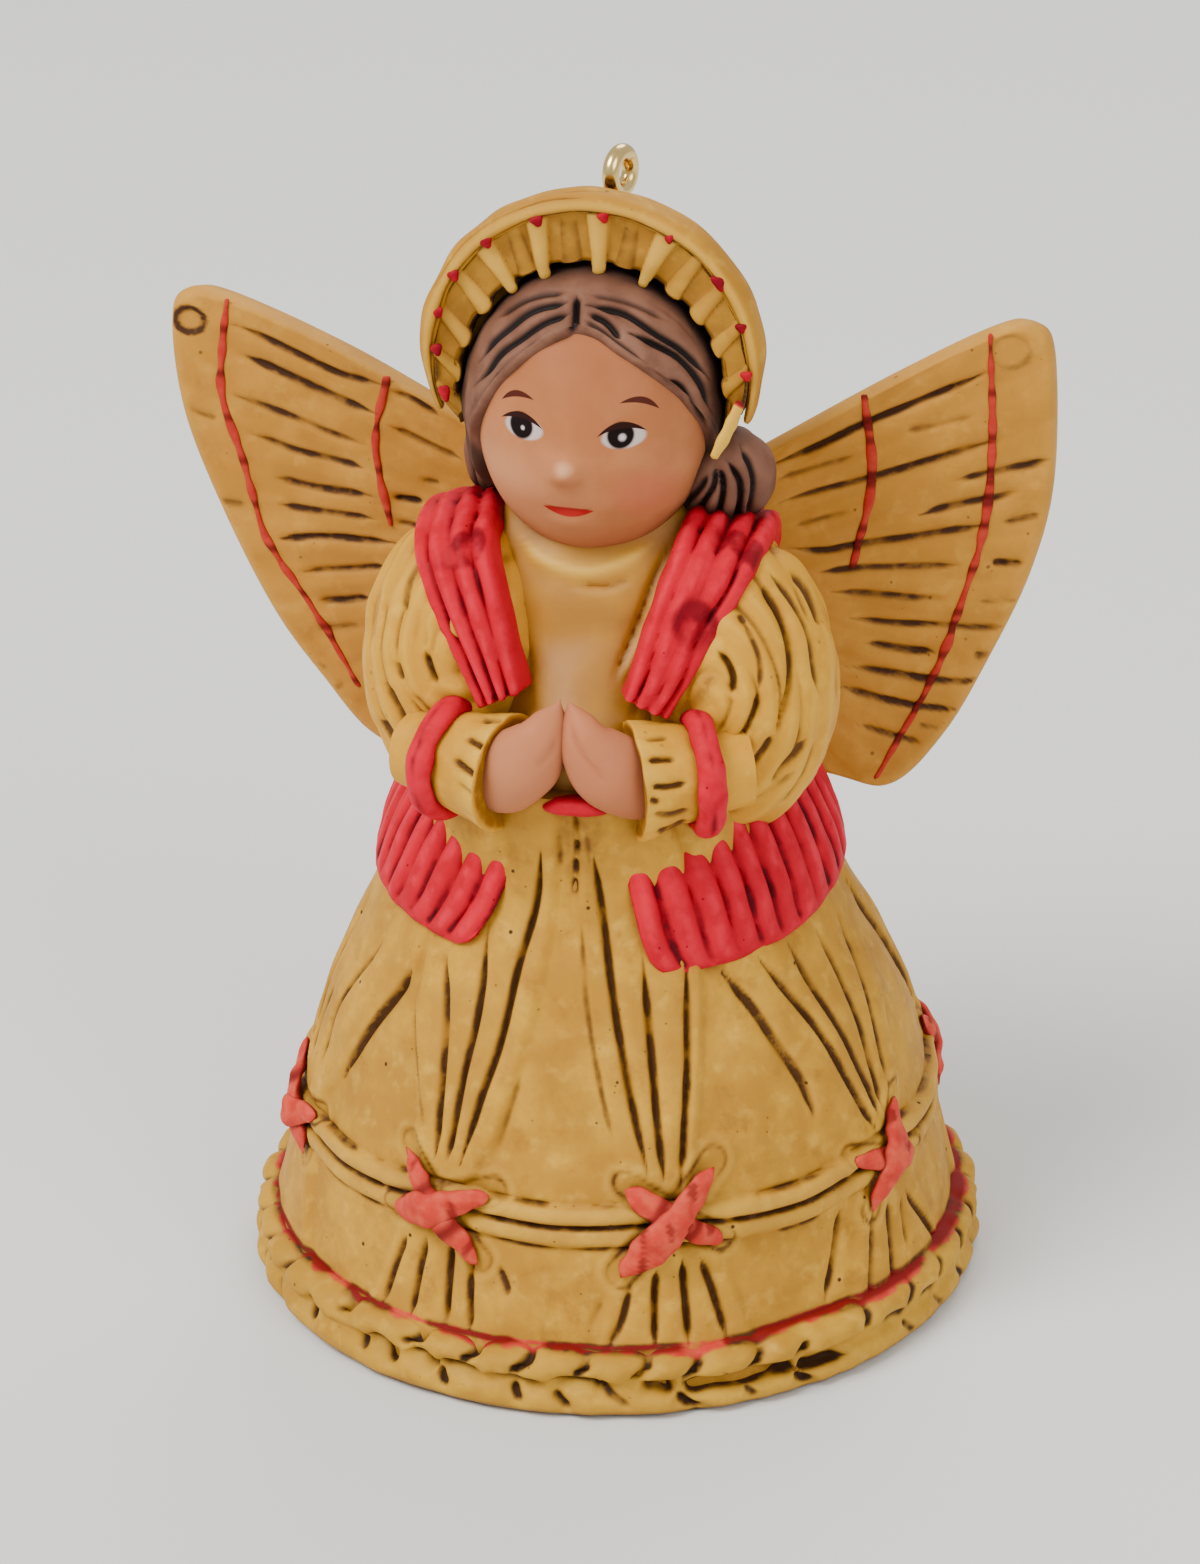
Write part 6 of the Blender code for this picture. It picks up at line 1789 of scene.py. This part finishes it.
def bodiceFinish():
    # cream in front and jacket red behind, from the one carving
    finish = Finish("bodice_paint")
    cream, red = looks["cream"], looks["red"]
    base = finish.cloud(2.6, 3).between(0.36, 0.66).paint(cream["bodiceShade"], cream["bodiceStraw"])
    base = (finish.cloud(1.7, 4, roughness=0.65).between(0.54, 0.76) * 0.5).paint(base, cream["bodiceOchre"])
    base = (finish.mark("pale") * 0.8).paint(base, cream["light"])
    # darker where the chest is marked: painted shade by the hands, chin and sleeves
    base = (finish.mark("stainAndShade") * 0.9).paint(base, cream["bodiceShadow"])
    # darker in enclosed spots: painted shade, with the wash in the hollows
    soakAndShade = (1 - finish.crevice).between(0.12, 0.75) * 0.6
    base = soakAndShade.paint(base, cream["soakAndShade"])
    base = finish.mark("washAndShade").between(0.1, 1.0).paint(base, cream["soakAndShade"])
    back = finish.cloud(1.8, 3).between(0.35, 0.68).paint(red["red"], red["middle"])
    back = (finish.mark("washAndShade") + soakAndShade).between(0.1, 0.95).paint(back, red["washAndShade"])
    base = finish.mark("bare").between(0.45, 0.55).paint(back, base)
    roughness = 0.46 + finish.cloud(1.5, 3) * 0.16
    return finish.end(base, roughness, finish.cloud(0.28, 4) * 0.6 + finish.cloud(1.4, 2), 0.03)


finishPiece(chest, bodiceFinish())
skin = skinFinish()
for side in (-1, 1):
    finishPiece(makeHand(side), skin)
makeBeltEnd()
finishPiece(makeHead(), skin)
hairPaint = hairFinish()
finishPiece(makeHair(), hairPaint)
for side in (-1, 1):
    finishPiece(makeBun(side), hairPaint)
print("hands, head and hair made")
makeRim()
makeFrill()
makeCrown()
makeDots()
makeLooseStraw()
for side in (-1, 1):
    makeWing(side)
    makeStitches(side)
makeEye()
print("bonnet, wings and eye made")


# Floor, light and camera

studio = {
    "floor": (0.76, 0.757, 0.73), "world": 0.67, "lamps": 1.08,
    "camera": (37.664, -196.406, 114.907), "depression": 24.32, "azimuth": 11.0, "roll": 1.0, "lens": 105.72,
}


def makeStudio():
    bpy.ops.object.select_all(action="DESELECT")
    bpy.ops.mesh.primitive_plane_add(size=6, location=(0, 0, 0))
    floor = bpy.context.active_object
    floor.name = "floor"
    material = bpy.data.materials.new("pale_floor")
    material.use_nodes = True
    shader = material.node_tree.nodes["Principled BSDF"]
    shader.inputs["Base Color"].default_value = (*studio["floor"], 1)
    shader.inputs["Roughness"].default_value = 0.7
    shader.inputs["Specular IOR Level"].default_value = 0.2
    floor.data.materials.append(material)
    world = bpy.data.worlds.new("soft_white")
    world.use_nodes = True
    background = world.node_tree.nodes["Background"]
    background.inputs["Color"].default_value = (1.0, 0.995, 0.98, 1)
    background.inputs["Strength"].default_value = studio["world"]
    bpy.context.scene.world = world
    lamps = (("key", (-0.30, -0.28, 0.52), 0.34, 4.2), ("fill", (0.42, -0.36, 0.38), 0.4, 1.5),
            ("back", (0.05, 0.5, 0.5), 0.4, 1.6))
    for name, place, size, power in lamps:
        light = bpy.data.lights.new(name, "AREA")
        light.shape = "DISK"
        light.size = size
        light.energy = power * studio["lamps"]
        lamp = bpy.data.objects.new(name, light)
        bpy.context.scene.collection.objects.link(lamp)
        lamp.location = place
        lamp.rotation_euler = (Vector((0, 0, 0.025)) - Vector(place)).to_track_quat("-Z", "Y").to_euler()
    camera = bpy.data.cameras.new("camera")
    camera.sensor_fit = "VERTICAL"
    camera.sensor_height = 36
    camera.lens = studio["lens"]
    camera.clip_start = 0.01
    view = bpy.data.objects.new("camera", camera)
    bpy.context.scene.collection.objects.link(view)
    turn = Matrix.Rotation(radians(studio["azimuth"]), 3,
            "Z") @ Matrix.Rotation(radians(90 - studio["depression"]), 3, "X")
    turn = turn @ Matrix.Rotation(radians(-studio["roll"]), 3, "Z")
    view.matrix_world = Matrix.Translation(Vector(studio["camera"]) * millimetre) @ turn.to_4x4()
    bpy.context.scene.camera = view


makeStudio()
